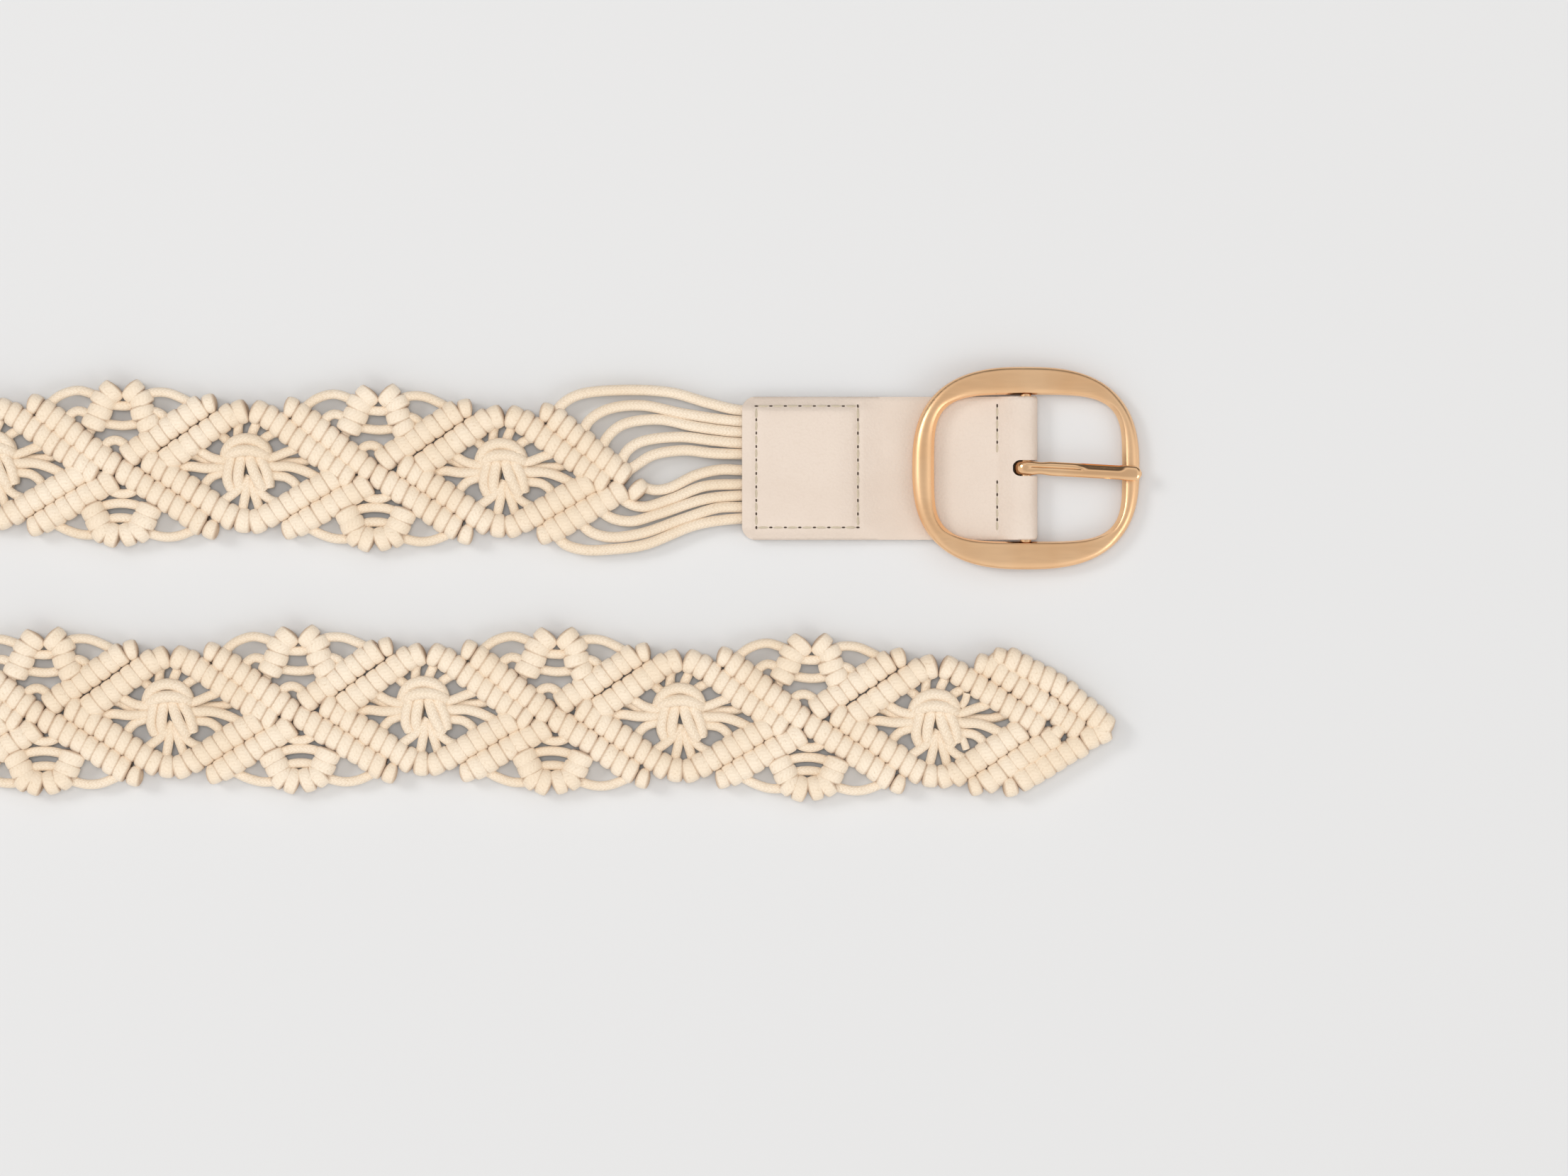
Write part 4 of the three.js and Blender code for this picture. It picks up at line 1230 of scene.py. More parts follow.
@dataclass
class BareCords:
    """The ten bare cords between the band and the tab."""

    bar: Vector
    diameter: float = 2.95
    band_height: float = 3.5
    pocket_height: float = 3.125
    tab_start: float = -78.05
    end_in_pocket: float = 22.0
    step: float = 0.7
    sides: int = 20
    entries: tuple[float, ...] = (15.9, 12.9, 9.9, 6.9, 3.9, -0.5, -4.4, -7.5, -10.7, -13.8)
    routes: tuple[tuple[Plane, ...], ...] = (
        ((-130.4, 13.4), (-127.6, 17.5), (-123, 20.2), (-111.5, 21.5), (-97.6, 20.8), (-87.2, 17.9)),
        ((-122.3, 9.3), (-119.9, 13.3), (-115, 16.2), (-106, 17.3), (-94.1, 15)),
        ((-117.2, 4.7), (-114.8, 8.9), (-110.8, 12), (-101.1, 13.4), (-90.7, 11.4)),
        ((-111.6, 0.9), (-109.8, 4.6), (-106, 7.2), (-95.5, 8.6), (-86, 7.6)),
        ((-110, -1.2), (-106.6, 1.2), (-102.5, 3.6), (-94.1, 4.9), (-86, 4.1)),
        ((-106, -5), (-102, -6), (-98, -5.4), (-90.7, -1.9), (-84, -0.4)),
        ((-113.4, -5.6), (-110, -9.2), (-105.3, -10.6), (-97.6, -8.5), (-88.6, -5)),
        ((-118, -10.4), (-114.6, -13.4), (-108.7, -14.6), (-101.1, -12.6), (-88.6, -8.6)),
        ((-123.4, -13.6), (-120.2, -17.2), (-115, -18.9), (-106, -18), (-94.1, -13.9), (-84.5, -10.9)),
        ((-130.2, -16.6), (-127.2, -20.6), (-122, -22.4), (-113.6, -22.3), (-104.6, -21), (-90.7, -15.6)),
    )

    def build(self, cotton: bpy.types.Material) -> None:
        """Args: cotton: the cord's material."""
        lines = Lines()
        for route, entry in zip(self.routes, self.entries):
            points = [Vector((x, y, self.band_height)) for x, y in route]
            for x in (self.tab_start, self.tab_start + self.end_in_pocket):
                points.append(Vector((x, entry, self.pocket_height)))
            lines.put(smooth_line([p + self.bar for p in points], self.step))
        values = {"Radius": self.diameter / 2 * MM, "Sides": self.sides, "Material": cotton}
        nodes = [f"cord_{i + 1:02d}" for i in range(len(self.routes))]
        dress(SweepTree().apply(lines.make("bare_cords"), values), Body.STRAP, Slot.COTTON, *nodes)


# The leather tab


@dataclass
class LeatherTab:
    """A strip folded round the bar, sewn over the cords' ends, with a slot for the prong."""

    bar: Vector
    start: float = -78.05
    half_width: float = 19.7
    wall: float = 1.5
    least_edge: float = 0.12
    end_shrink: Plane = (0.55, 0.85)
    corner: float = 3.7
    corner_steps: int = 14
    fold_radius: float = 2.5
    bar_height: float = 3.25
    fold_steps: int = 18
    slope_start: float = -10.0
    slope_end: float = -1.0
    lower_run: tuple[float, int] = (-6.0, 30)
    slot_run: tuple[float, float, int] = (-5.8, -0.5, 28)
    upper_runs: tuple[tuple[float, float, int], ...] = (
        (-6.0, -14.0, 14), (-14.8, -42.0, 26), (-42.6, -52.0, 22),
    )
    pad_run: tuple[float, int] = (-53.0, 32)
    pad_end: float = -38.0
    pad_slope: float = 15.0
    pad_rise: float = 3.25
    pressed_from: float = 15.6
    pressed_to: float = 19.7
    pressed_drop: float = 2.7
    dome_rise: float = 0.3
    seam_margin: float = 1.0
    seam_spread: float = 0.9
    seam_depth: float = 0.42
    cross_spread: float = 0.8
    cross_depth: float = 0.22
    slot_half: float = 2.2
    slot_end: float = -3.75
    slot_tip: float = 0.4
    slot_slack: float = 0.02
    stitch_box: tuple[float, float, float, float] = (-74.1, -46.2, -16.3, 17.0)
    cross_stitch: tuple[float, float, float] = (-7.8, -17.6, 17.2)
    stitch_pitch: float = 3.8
    stitch_gap: float = 1.6
    stitch_lift: float = 0.12
    stitch_reach: float = 0.41
    stitch_radius: float = 0.3
    stitch_flatness: float = 0.7
    stitch_dip: float = 0.3
    stitch_tip: float = 0.02
    # painted shade: where the needle pierced the leather, a low dimple, nearly black, sits on the tab
    hole_shade_lift: float = 0.07
    hole_shade_top: float = 0.15
    hole_shade_rings: tuple[Plane, ...] = ((0.38, 0.12), (0.56, -0.1))
    turn_jitter: float = 0.04
    size_jitter: float = 0.05
    seed: int = 3
    edge_round: float = 0.4
    columns: int = 56

    def build(self, leather: bpy.types.Material, thread: bpy.types.Material,
              hole_shade: bpy.types.Material) -> None:
        """Args: leather, thread, hole_shade: the materials; hole_shade is painted shade where the needle
        pierced the leather.
        """
        strip = self._strip()
        strip.data.materials.append(leather)
        dress(strip, Body.STRAP, Slot.LEATHER, "leather_tab")
        self._stitches(thread, hole_shade)

    def _line(self) -> list[tuple[float, float, float, float]]:
        """Returns: stations along the strip as x, z and the outward normal's x and z."""
        half = self.wall / 2
        inner = self.start + self.corner
        corner = [self.start + self.corner * (i / self.corner_steps) ** 2 for i in range(self.corner_steps)]
        slot_start, slot_stop, slot_count = self.slot_run
        lower = corner + self._steps(inner, *self.lower_run) + self._steps(*self.slot_run)
        stations = [(x, half, 0.0, -1.0) for x in lower]
        for i in range(self.fold_steps + 1):
            angle = -math.pi / 2 + math.pi * i / self.fold_steps
            stations.append((self.fold_radius * math.cos(angle),
                             self.bar_height + self.fold_radius * math.sin(angle),
                             math.cos(angle), math.sin(angle)))
        top = self._steps(slot_stop, slot_start, slot_count)
        for first, last, count in self.upper_runs:
            top += self._steps(first, last, count)
        pad_start, pad_count = self.pad_run
        top += [*self._steps(pad_start, inner, pad_count), *reversed(corner)]
        return stations + [(x, self._top_line(x), 0.0, 1.0) for x in top]

    @staticmethod
    def _steps(first: float, last: float, count: int) -> list[float]:
        """Args: first, last: the ends. count: how many. Returns: even steps between them."""
        return [first + (last - first) * i / (count - 1) for i in range(count)]

    def _top_line(self, x: float) -> float:
        """Args: x: where. Returns: the upper layer's middle height on the tab's middle line."""
        flat = 1.5 * self.wall
        fold = self.bar_height + self.fold_radius
        down = smooth_step((x - self.slope_start) / (self.slope_end - self.slope_start))
        pad = smooth_step((self.pad_end - x) / self.pad_slope)
        return flat + (fold - flat) * down + self.pad_rise * pad

    def _relief(self, x: float, y: float) -> float:
        """Args: x, y: where. Returns: what the upper layer rises or sinks by there."""
        pad = smooth_step((self.pad_end - x) / self.pad_slope)
        pressed = smooth_step((abs(y) - self.pressed_from) / (self.pressed_to - self.pressed_from))
        low_x, high_x, low_y, high_y = self.stitch_box
        seams = [abs(x - low_x), abs(x - high_x), abs(y - low_y), abs(y - high_y)]
        edge = self.seam_margin
        inside = low_x - edge < x < high_x + edge and low_y - edge < y < high_y + edge
        dip = sum(math.exp(-((gap / self.seam_spread) ** 2)) for gap in seams) if inside else 0.0
        cross = math.exp(-(((x - self.cross_stitch[0]) / self.cross_spread) ** 2))
        middle_x, middle_y = (low_x + high_x) / 2, (low_y + high_y) / 2
        dome_x = 1 - ((x - middle_x) / (high_x - middle_x)) ** 2
        dome_y = 1 - ((y - middle_y) / (high_y - middle_y)) ** 2
        dome = self.dome_rise * math.sqrt(max(dome_x, 0) * max(dome_y, 0))
        seam = self.seam_depth * min(dip, 1.0) + self.cross_depth * cross
        return dome - seam - self.pressed_drop * pad * pressed

    def _half_at(self, x: float) -> float:
        """Args: x: where. Returns: half the strip's width, less in its rounded corners."""
        into = self.corner - (x - self.start)
        if into <= 0:
            return self.half_width
        return self.half_width - self.corner + math.sqrt(max(self.corner**2 - into**2, 0.0))

    def _slot_at(self, x: float) -> float:
        """Args: x: where. Returns: half the slot's width, less in its round end."""
        into = self.slot_end + self.slot_half - x
        if into <= 0:
            return self.slot_half
        return max(math.sqrt(self.slot_half**2 - min(into, self.slot_half) ** 2), self.slot_tip)

    def _columns_at(self, x: float) -> list[float]:
        """Args: x: where. Returns: places across the strip, with the slot's two sides among them."""
        half, slot = self._half_at(x), self._slot_at(x)
        side = (self.columns - 2) // 2
        outer = [slot + (half - slot) * (i / (side - 1)) for i in range(side)]
        return [-y for y in reversed(outer)] + outer

    def _strip(self) -> bpy.types.Object:
        """Returns: the folded strip with its slot cut through."""
        stations = self._line()
        verts: list[Vector] = []
        rings: list[list[int]] = []
        for i, (x, z, nx, nz) in enumerate(stations):
            end = min(i, len(stations) - 1 - i)
            shrink = self.end_shrink[end] if end < len(self.end_shrink) else 1.0
            columns = self._columns_at(x)
            upper = i > len(stations) // 2
            ring = []
            for side in (1.0, -1.0):
                for y in columns if side > 0 else reversed(columns):
                    edge = self.half_width - abs(y)
                    square = self.edge_round**2 - max(self.edge_round - edge, 0) ** 2
                    thick = self.wall / 2 - self.edge_round + math.sqrt(max(square, 0))
                    out = side * max(thick, self.least_edge) * shrink
                    lift = self._relief(x, y) if upper and nx == 0 else 0.0
                    ring.append(len(verts))
                    verts.append((Vector((x + nx * out, y, z + nz * out + lift)) + self.bar) * MM)
            rings.append(ring)
        faces = self._strip_faces(stations, rings)
        made = mesh_object("leather_tab_skin", verts, faces)
        finish_normals(made, sharp_degrees=60.0)
        return made

    def _strip_faces(self, stations: Sequence[tuple[float, float, float, float]],
                     rings: Sequence[Sequence[int]]) -> list[tuple[int, ...]]:
        """Args: stations: along the strip. rings: corner numbers of each. Returns: the faces."""
        count = len(rings[0])
        across = count // 2
        left, right = across // 2 - 1, across // 2
        gaps = {left, count - 1 - right}
        faces: list[tuple[int, ...]] = []
        in_slot = [x > self.slot_end + self.slot_slack for x, *_ in stations]
        for i in range(len(rings) - 1):
            open_here = in_slot[i] and in_slot[i + 1]
            for j in range(count):
                k = (j + 1) % count
                if open_here and j in gaps:
                    continue
                faces.append((rings[i][j], rings[i][k], rings[i + 1][k], rings[i + 1][j]))
            if open_here:
                for j, k in ((left, count - 1 - left), (right, count - 1 - right)):
                    faces.append((rings[i][j], rings[i + 1][j], rings[i + 1][k], rings[i][k]))
        first = in_slot.index(True)
        last = len(in_slot) - 1 - in_slot[::-1].index(True)
        for i in (first, last):
            faces.append((rings[i][left], rings[i][right], rings[i][count - 1 - right],
                          rings[i][count - 1 - left]))
        for ring in (rings[0], rings[-1]):
            for j in range(across - 1):
                faces.append((ring[j], ring[j + 1], ring[count - 2 - j], ring[count - 1 - j]))
        return faces

    def height(self, x: float, y: float) -> float:
        """Args: x, y: where. Returns: the height of the tab's upper face."""
        return self._top_line(x) + self.wall / 2 + self._relief(x, y)

    def _stitch_ends(self) -> list[tuple[Vector, Vector]]:
        """Returns: the two ends of each stitch, where the needle went through, in plan."""
        low_x, high_x, low_y, high_y = self.stitch_box
        corners = [(low_x, high_y), (high_x, high_y), (high_x, low_y), (low_x, low_y), (low_x, high_y)]
        runs = [(Vector(a), Vector(b)) for a, b in zip(corners, corners[1:])]
        x, bottom, top = self.cross_stitch
        slot = self.slot_half + self.stitch_gap
        runs += [(Vector((x, top)), Vector((x, slot))), (Vector((x, -slot)), Vector((x, bottom)))]
        ends = []
        for a, b in runs:
            count = round((b - a).length / self.stitch_pitch)
            ends += [(a.lerp(b, i / count), a.lerp(b, (i + 1) / count)) for i in range(count)]
        return ends

    def _stitches(self, thread: bpy.types.Material, hole_shade: bpy.types.Material) -> None:
        """Args: thread: the stitches' material. hole_shade: the painted shade where the needle pierced the
        leather.
        """
        stitches, hole_shades = Spots(), Spots()
        for a, b in self._stitch_ends():
            middle = (a + b) / 2
            ends = [Vector((p.x, p.y, self.height(p.x, p.y))) for p in (a, b)]
            along = (ends[1] - ends[0]).normalized()
            side = Vector((0, 0, 1)).cross(along).normalized()
            axes = Matrix((along, side, along.cross(side))).transposed()
            top = Vector((middle.x, middle.y, self.height(middle.x, middle.y) + self.stitch_lift))
            stitches.put(top + self.bar, axes, ((b - a).length / self.stitch_pitch, 1.0, 1.0), 0)
            # painted shade at the first end of each stitch
            hole_shades.put(ends[0] + self.bar + Vector((0, 0, self.hole_shade_lift)), axes, (1.0, 1.0, 1.0), 0)
        for spots, shape, name, material in (
            (stitches, self._stitch_shape(), "tab_stitches", thread),
            (hole_shades, self._hole_shade_shape(), "tab_needle_holes", hole_shade),
        ):
            values = dict.fromkeys(ScatterTree.SHAPES, shape)
            values |= {"Turn Jitter": self.turn_jitter, "Size Jitter": self.size_jitter,
                       "Seed": self.seed, "Material": material}
            dress(ScatterTree().apply(spots.make(name), values), Body.STRAP, Slot.LEATHER)
            bpy.data.objects.remove(shape)

    def _stitch_shape(self) -> bpy.types.Object:
        """Returns: one stitch, a thread that dips at both ends."""
        verts = []
        stations, sides = 9, 8
        for i in range(stations):
            t = -1 + 2 * i / (stations - 1)
            radius = self.stitch_radius * math.sqrt(max(1 - t**4, self.stitch_tip))
            for angle in angles(sides):
                up = math.sin(angle) * radius * self.stitch_flatness - self.stitch_dip * t * t
                along = t * self.stitch_pitch * self.stitch_reach
                verts.append(Vector((along, math.cos(angle) * radius, up)) * MM)
        faces = tube_faces(0, stations, sides)
        made = mesh_object("stitch", verts, faces)
        finish_normals(made, sharp_degrees=80.0)
        return made

    def _hole_shade_shape(self) -> bpy.types.Object:
        """Returns: painted shade where the needle pierced the leather, a low dimple, nearly black."""
        verts = [Vector((0, 0, self.hole_shade_top)) * MM]
        sides = 10
        for radius, z in self.hole_shade_rings:
            for angle in angles(sides):
                verts.append(Vector((math.cos(angle) * radius, math.sin(angle) * radius * 0.5, z)) * MM)
        faces: list[tuple[int, ...]] = [(0, 1 + j, 1 + (j + 1) % sides) for j in range(sides)]
        for j in range(sides):
            k = (j + 1) % sides
            faces.append((1 + j, 1 + sides + j, 1 + sides + k, 1 + k))
        faces.append(tuple(range(sides + 1, 2 * sides + 1)))
        made = mesh_object("needle_hole", verts, faces)
        finish_normals(made, sharp_degrees=80.0)
        return made


# The buckle


@dataclass
class Buckle:
    """The oval frame with its bar, lying on the tab and on the floor."""

    bar: Vector
    bar_height: float = 3.25
    bar_radius: float = 1.6
    length: float = 62.7
    width: float = 55.7
    outline_power: float = 2.6
    window_length: float = 52.0
    window_width: float = 40.4
    window_power: float = 4.2
    window_shift: float = 0.6
    side_thickness: float = 4.5
    edge_thickness: float = 3.8
    flat_tab: float = 3.0
    clearance: float = 0.3
    rest_share: float = 0.84
    rim: float = 1.0
    rim_most: float = 0.3
    crescent_thinning: float = 0.55
    crescent_from: float = 0.35
    crescent_reach: float = 0.4
    round_power: float = 2.1
    crescent_squareness: float = 1.3
    shoulder: float = 0.15
    inner_shoulder: float = 0.2
    top_steps: int = 12
    low_steps: int = 10
    stations: int = 192
    bar_sides: int = 20

    @property
    def far_edge(self) -> float:
        """Where the window's far edge lies."""
        return self.window_length / 2 + self.window_shift

    @property
    def tilt(self) -> float:
        """How far the frame leans down from the tab to the floor."""
        near = self.window_length / 2 - self.window_shift
        return math.atan((self.flat_tab + self.clearance) / (near + self._rest))

    @property
    def _rest(self) -> float:
        """Where the frame's far side touches the floor."""
        return self.far_edge + self.rest_share * (self.length / 2 - self.far_edge)

    @property
    def rise(self) -> float:
        """How far the frame's middle lies above the bar's axis."""
        far_up = self.side_thickness / 2 + self._rest * math.tan(self.tilt)
        return far_up - self.bar_height / math.cos(self.tilt)

    @property
    def far_top(self) -> float:
        """Height of the frame's far side above the bar's axis."""
        top = (self.rise + self.side_thickness / 2) * math.cos(self.tilt)
        return top - self.far_edge * math.sin(self.tilt)

    def build(self, brushed: bpy.types.Material, polished: bpy.types.Material) -> None:
        """Args: brushed: the frame's gold. polished: the gold of its rim and bar."""
        ring = self._frame()
        ring.data.materials.append(brushed)
        ring.data.materials.append(polished)
        dress(ring, Body.BUCKLE, Slot.BRUSHED, "buckle_frame")

    def on_bar(self, point: Vector) -> Vector:
        """Args: point: from the bar's axis. Returns: its place, in metres."""
        return (point + self.bar + Vector((0, 0, self.bar_height))) * MM

    def _place(self, point: Vector) -> Vector:
        """Args: point: in the level frame, from the bar. Returns: it leaned over, in metres."""
        return self.on_bar(Matrix.Rotation(self.tilt, 3, "Y") @ point)

    def _outline(self, angle: float, length: float, width: float, power: float) -> Vector:
        """Args: angle: round the outline. length, width, power: its shape. Returns: the point."""
        across = rounded(math.sin(angle), power) * width / 2
        return Vector((rounded(math.cos(angle), power) * length / 2, across, 0))

    def _section(self, flatness: float, width: float) -> list[tuple[float, float]]:
        """A side of the frame in section.

        Args:
            flatness: 0 on the round sides, 1 on the flat crescents.
            width: from the window to the outline.

        Returns:
            Places across, from the window, and shares of half the thickness up.
        """
        power = self.round_power + self.crescent_squareness * flatness
        rim = min(self.rim_width(flatness) / width, self.rim_most)
        top = [(0.0, self.inner_shoulder), (rim, (1 - (1 - 2 * rim) ** power) ** (1 / power))]
        for i in range(1, self.top_steps):
            across = rim + (1 - rim) * (1 - math.cos(math.pi * i / self.top_steps)) / 2
            top.append((across, (1 - abs(2 * across - 1) ** power) ** (1 / power)))
        low = []
        for i in range(1, self.low_steps):
            angle = -math.pi * i / self.low_steps
            low.append((0.5 + 0.5 * rounded(math.cos(angle), power), rounded(math.sin(angle), power)))
        return [*top, (1.0, self.shoulder), (1.0, -self.shoulder), *low, (0.0, -self.shoulder)]

    def rim_width(self, flatness: float) -> float:
        """Args: flatness: 0 on the round sides, 1 on the crescents. Returns: the polished rim."""
        return self.rim * (1 - self.crescent_thinning * flatness)

    def _frame(self) -> bpy.types.Object:
        """Returns: the ring and its bar."""
        verts: list[Vector] = []
        for angle in angles(self.stations):
            side = math.sin(angle) ** 2
            inner = self._outline(angle, self.window_length, self.window_width, self.window_power)
            inner.x += self.window_shift
            outer = self._outline(angle, self.length, self.width, self.outline_power)
            flatness = smooth_step((side - self.crescent_from) / self.crescent_reach)
            half = (self.side_thickness + (self.edge_thickness - self.side_thickness) * side) / 2
            for across, height in self._section(flatness, (outer - inner).length):
                point = inner.lerp(outer, across)
                point.z = height * half + self.rise
                verts.append(self._place(point))
        count = len(verts) // self.stations
        faces = tube_faces(0, self.stations, count, closed=True)
        ring_faces = len(faces)
        self._bar(verts, faces)
        made = mesh_object("buckle_frame_skin", verts, faces)
        finish_normals(made, sharp_degrees=80.0)
        for face in made.data.polygons:
            polished = face.index >= ring_faces or face.index % count in (0, count - 1)
            face.material_index = int(polished)
        for edge in made.data.edges:
            places = {corner % count for corner in edge.vertices}
            on_bar = max(edge.vertices) >= self.stations * count
            edge.use_edge_sharp = on_bar or places in ({0}, {1}, {count - 1})
        return made

    def _bar(self, verts: list[Vector], faces: list[tuple[int, ...]]) -> None:
        """Args: verts, faces: get the bar across the window."""
        reach = (self.window_width + self.width) / 4
        faces += tube_faces(len(verts), 2, self.bar_sides)
        for y in (-reach, reach):
            for angle in angles(self.bar_sides):
                point = Vector((math.cos(angle) * self.bar_radius, y, math.sin(angle) * self.bar_radius))
                verts.append(self._place(point))


@dataclass
class Prong:
    """The prong, which turns on the buckle's bar by its loop."""

    buckle: Buckle
    width: float = 3.9
    thickness: float = 2.1
    slant: float = 1.6
    overhang: float = 0.4
    powers: Plane = (2.5, 2.1)
    stations: int = 44
    sides: int = 32
    tip_length: float = 1.8
    tip_least: float = 0.03
    neck_place: float = 4.0
    neck_reach: float = 3.0
    neck_thinning: float = 0.14
    end_swell: float = 0.06
    end_swell_from: float = -1.5
    seam_place: float = 0.25
    seam_width: float = 0.3
    seam_depth: float = 0.42
    seam_end: float = 17.5
    seam_fade: float = 3.0
    facet_edge: float = 0.1
    facet_width: float = 1.2
    facet_depth: float = 0.8
    facet_start: float = 13.0
    facet_rise: float = 4.0
    facet_past: float = 1.0
    fade: float = 2.0
    loop_gap: float = 0.15
    loop_width: float = 0.46
    loop_around: int = 40
    loop_sides: int = 16

    def build(self, polished: bpy.types.Material) -> None:
        """Args: polished: the prong's gold."""
        made = self._shape()
        made.data.materials.append(polished)
        dress(made, Body.PRONG, Slot.POLISHED, "prong")

    def _shape(self) -> bpy.types.Object:
        """Returns: the prong, rolled from a strip, with its loop round the bar."""
        buckle = self.buckle
        tip = buckle.length / 2 + self.overhang
        far = buckle.far_top + buckle.clearance
        half_w, half_t = self.width / 2, self.thickness / 2
        side_power, top_power = self.powers
        verts: list[Vector] = []
        for i in range(self.stations):
            x = tip * (i / (self.stations - 1))
            rise = smooth_step(x / buckle.far_edge)
            z = (buckle.bar_height - half_t) * (1 - rise) + (far + half_t) * rise
            into_tip = max((x - tip + self.tip_length) / self.tip_length, 0)
            end = math.sqrt(max(1 - into_tip**2, self.tip_least))
            from_neck = smooth_step(abs(x - self.neck_place) / self.neck_reach)
            neck = 1 - self.neck_thinning * (1 - from_neck)
            past = x - buckle.far_edge - self.end_swell_from
            swell = 1 + self.end_swell * smooth_step(past / self.fade)
            aside = -self.slant * max(0.0, (x - buckle.bar_height) / (tip - buckle.bar_height))
            for angle in angles(self.sides, 0.5):
                across = rounded(math.cos(angle), side_power) * half_w * end * neck * swell
                up = rounded(math.sin(angle), top_power) * half_t * end
                if up > 0:
                    up -= self._seam(x, across) * half_t * end
                verts.append(buckle.on_bar(Vector((x, across + aside, z + up))))
        faces = tube_faces(0, self.stations, self.sides)
        self._loop(verts, faces)
        made = mesh_object("prong_skin", verts, faces)
        finish_normals(made)
        return made

    def _seam(self, x: float, across: float) -> float:
        """Args: x: along the prong. across: from its middle. Returns: how deep its top is pressed."""
        valley = math.exp(-(((across - self.seam_place) / self.seam_width) ** 2))
        crease = self.seam_depth * valley * smooth_step((self.seam_end - x) / self.seam_fade)
        slope = min(max((across - self.facet_edge) / self.facet_width, 0.0), 1.0)
        facet = self.facet_depth * slope * smooth_step((x - self.facet_start) / self.facet_rise)
        return crease + facet * smooth_step((self.buckle.far_edge + self.facet_past - x) / self.fade)

    def _loop(self, verts: list[Vector], faces: list[tuple[int, ...]]) -> None:
        """Args: verts, faces: get the prong's loop round the bar."""
        buckle = self.buckle
        bore, outside = buckle.bar_radius + self.loop_gap, buckle.bar_height
        middle, half = (bore + outside) / 2, (outside - bore) / 2
        faces += tube_faces(len(verts), self.loop_around, self.loop_sides, closed=True)
        for angle in angles(self.loop_around):
            for section in angles(self.loop_sides):
                radius = middle + math.cos(section) * half
                y = math.sin(section) * self.width * self.loop_width
                point = Vector((math.cos(angle) * radius, y, math.sin(angle) * radius))
                verts.append(buckle.on_bar(point))


# The studio


@dataclass(frozen=True)
class Lamp:
    """A square lamp, by its place from the middle of the view, in metres."""

    name: str
    offset: Space
    size: float
    power: float
    in_metal: bool = True


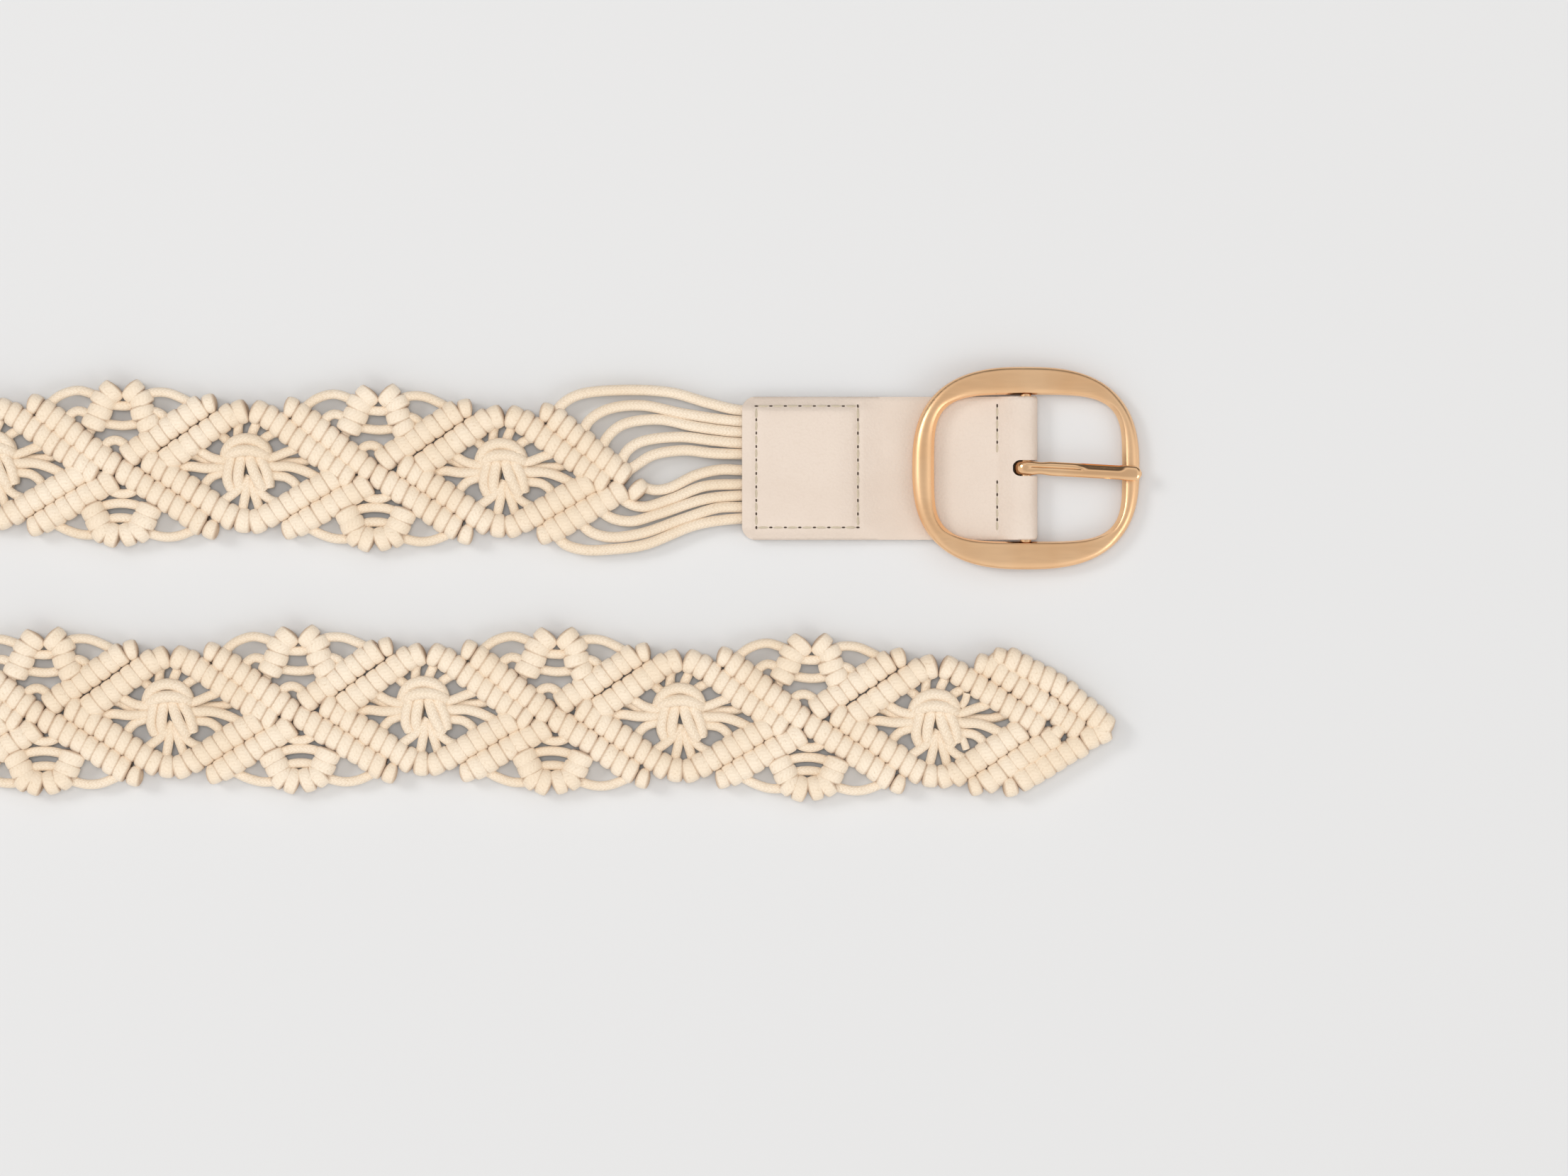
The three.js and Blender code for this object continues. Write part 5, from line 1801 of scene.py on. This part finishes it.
@dataclass
class Studio:
    """Camera, floor and soft light."""

    view_middle: Space = (-66.5, -32.96, 0.0)
    view_width: float = 431.3
    lens: float = 110.0
    sensor: float = 36.0
    floor_size: float = 8.0
    floor_drop: float = 0.0003
    focus_height: float = 4.0
    lamps: tuple[Lamp, ...] = (
        Lamp("key", (-2.3, 1.0, 2.3), 0.95, 24.0),
        Lamp("fill", (2.2, -1.2, 2.0), 1.5, 13.0),
        Lamp("top", (-0.1, 0.15, 2.6), 0.9, 17.5, in_metal=False),
    )
    sky: float = 0.82
    sky_colour: Space = (1.0, 0.99, 0.98)
    dim_above: float = 0.28
    above: Plane = (0.72, 0.98)
    dim_wall: float = 0.85
    wall_from: Plane = (0.1, 0.45)
    wall_top: Plane = (0.35, 0.75)

    def camera(self, bar: Vector) -> None:
        """Makes the camera straight above the belt. Args: bar: where the bar is in plan."""
        data = bpy.data.cameras.new("camera")
        data.lens = self.lens
        data.sensor_width = self.sensor
        made = bpy.data.objects.new("camera", data)
        distance = self.view_width * self.lens / self.sensor + self.focus_height
        made.location = (Vector(self.view_middle) + bar + Vector((0, 0, distance))) * MM
        bpy.context.scene.collection.objects.link(made)
        bpy.context.scene.camera = made

    def light(self, bar: Vector) -> None:
        """Makes the world and the lamps. Args: bar: where the bar is in plan."""
        scene = bpy.context.scene
        scene.view_settings.view_transform = "Standard"
        world = bpy.data.worlds.new("studio")
        world.use_nodes = True
        self._sky(world)
        scene.world = world
        middle = (Vector(self.view_middle) + bar) * MM
        for lamp in self.lamps:
            data = bpy.data.lights.new(lamp.name, "AREA")
            data.size = lamp.size
            data.energy = lamp.power
            made = bpy.data.objects.new(lamp.name, data)
            made.location = middle + Vector(lamp.offset)
            made.visible_glossy = lamp.in_metal
            made.rotation_euler = (middle - made.location).to_track_quat("-Z", "Y").to_euler()
            scene.collection.objects.link(made)

    def _sky(self, world: bpy.types.World) -> None:
        """Args: world: the room round the belt, dimmer straight above and along one wall."""
        world.node_tree.nodes.clear()
        book = NodeBook(world.node_tree)
        parts = book.add("ShaderNodeSeparateXYZ", None, {0: Finish.place(book)})
        _, side, up = [Scalar(book, parts.outputs[i]) for i in range(3)]
        above = up.eased(*self.above)
        wall = side.eased(*self.wall_from) * (1 - up.eased(*self.wall_top))
        strength = (1 - above * self.dim_above) * (1 - wall * self.dim_wall) * self.sky
        values = {"Color": (*self.sky_colour, 1.0), "Strength": strength}
        light = book.add("ShaderNodeBackground", None, values)
        book.add("ShaderNodeOutputWorld", None, {"Surface": light.outputs[0]})

    def floor(self, finish: bpy.types.Material) -> None:
        """Lays the floor just under the belt. Args: finish: its material."""
        half, z = self.floor_size / 2, -self.floor_drop
        corners = [(-half, -half, z), (half, -half, z), (half, half, z), (-half, half, z)]
        made = mesh_object("floor", corners, [(0, 1, 2, 3)])
        made.data.materials.append(finish)


def bar_place() -> Vector:
    """Returns: the bar's place in plan, in millimetres, from the tab's solid."""
    low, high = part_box("leather_tab")
    return Vector((high.x / MM - LeatherTab.bar_height, (low.y + high.y) / 2 / MM, 0.0))


def main() -> None:
    """Builds the belt and its studio."""
    logging.basicConfig(level=logging.INFO, format="%(name)s: %(message)s")
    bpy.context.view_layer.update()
    bar = bar_place()
    studio = Studio()
    studio.camera(bar)
    cotton = CottonFinish("cotton").make()
    leather = LeatherFinish("leather").make()
    thread = ThreadFinish("sewing_thread").make()
    # painted shade where the needle pierced the leather, nearly black
    hole_shade = ThreadFinish("needle_hole", colour=(0.10, 0.07, 0.045), shade_colour=(0.06, 0.04, 0.03)).make()
    brushed = GoldFinish("brushed_gold").make()
    polished = GoldFinish("polished_gold", bump_strength=0.05, roughness=0.14, streak=0.05).make()
    NetBand(BandPath(bar)).build(cotton)
    BareCords(bar).build(cotton)
    LeatherTab(bar).build(leather, thread, hole_shade)
    buckle = Buckle(bar)
    buckle.build(brushed, polished)
    Prong(buckle).build(polished)
    studio.light(bar)
    studio.floor(FloorFinish("floor").make())


if __name__ == "__main__":
    main()
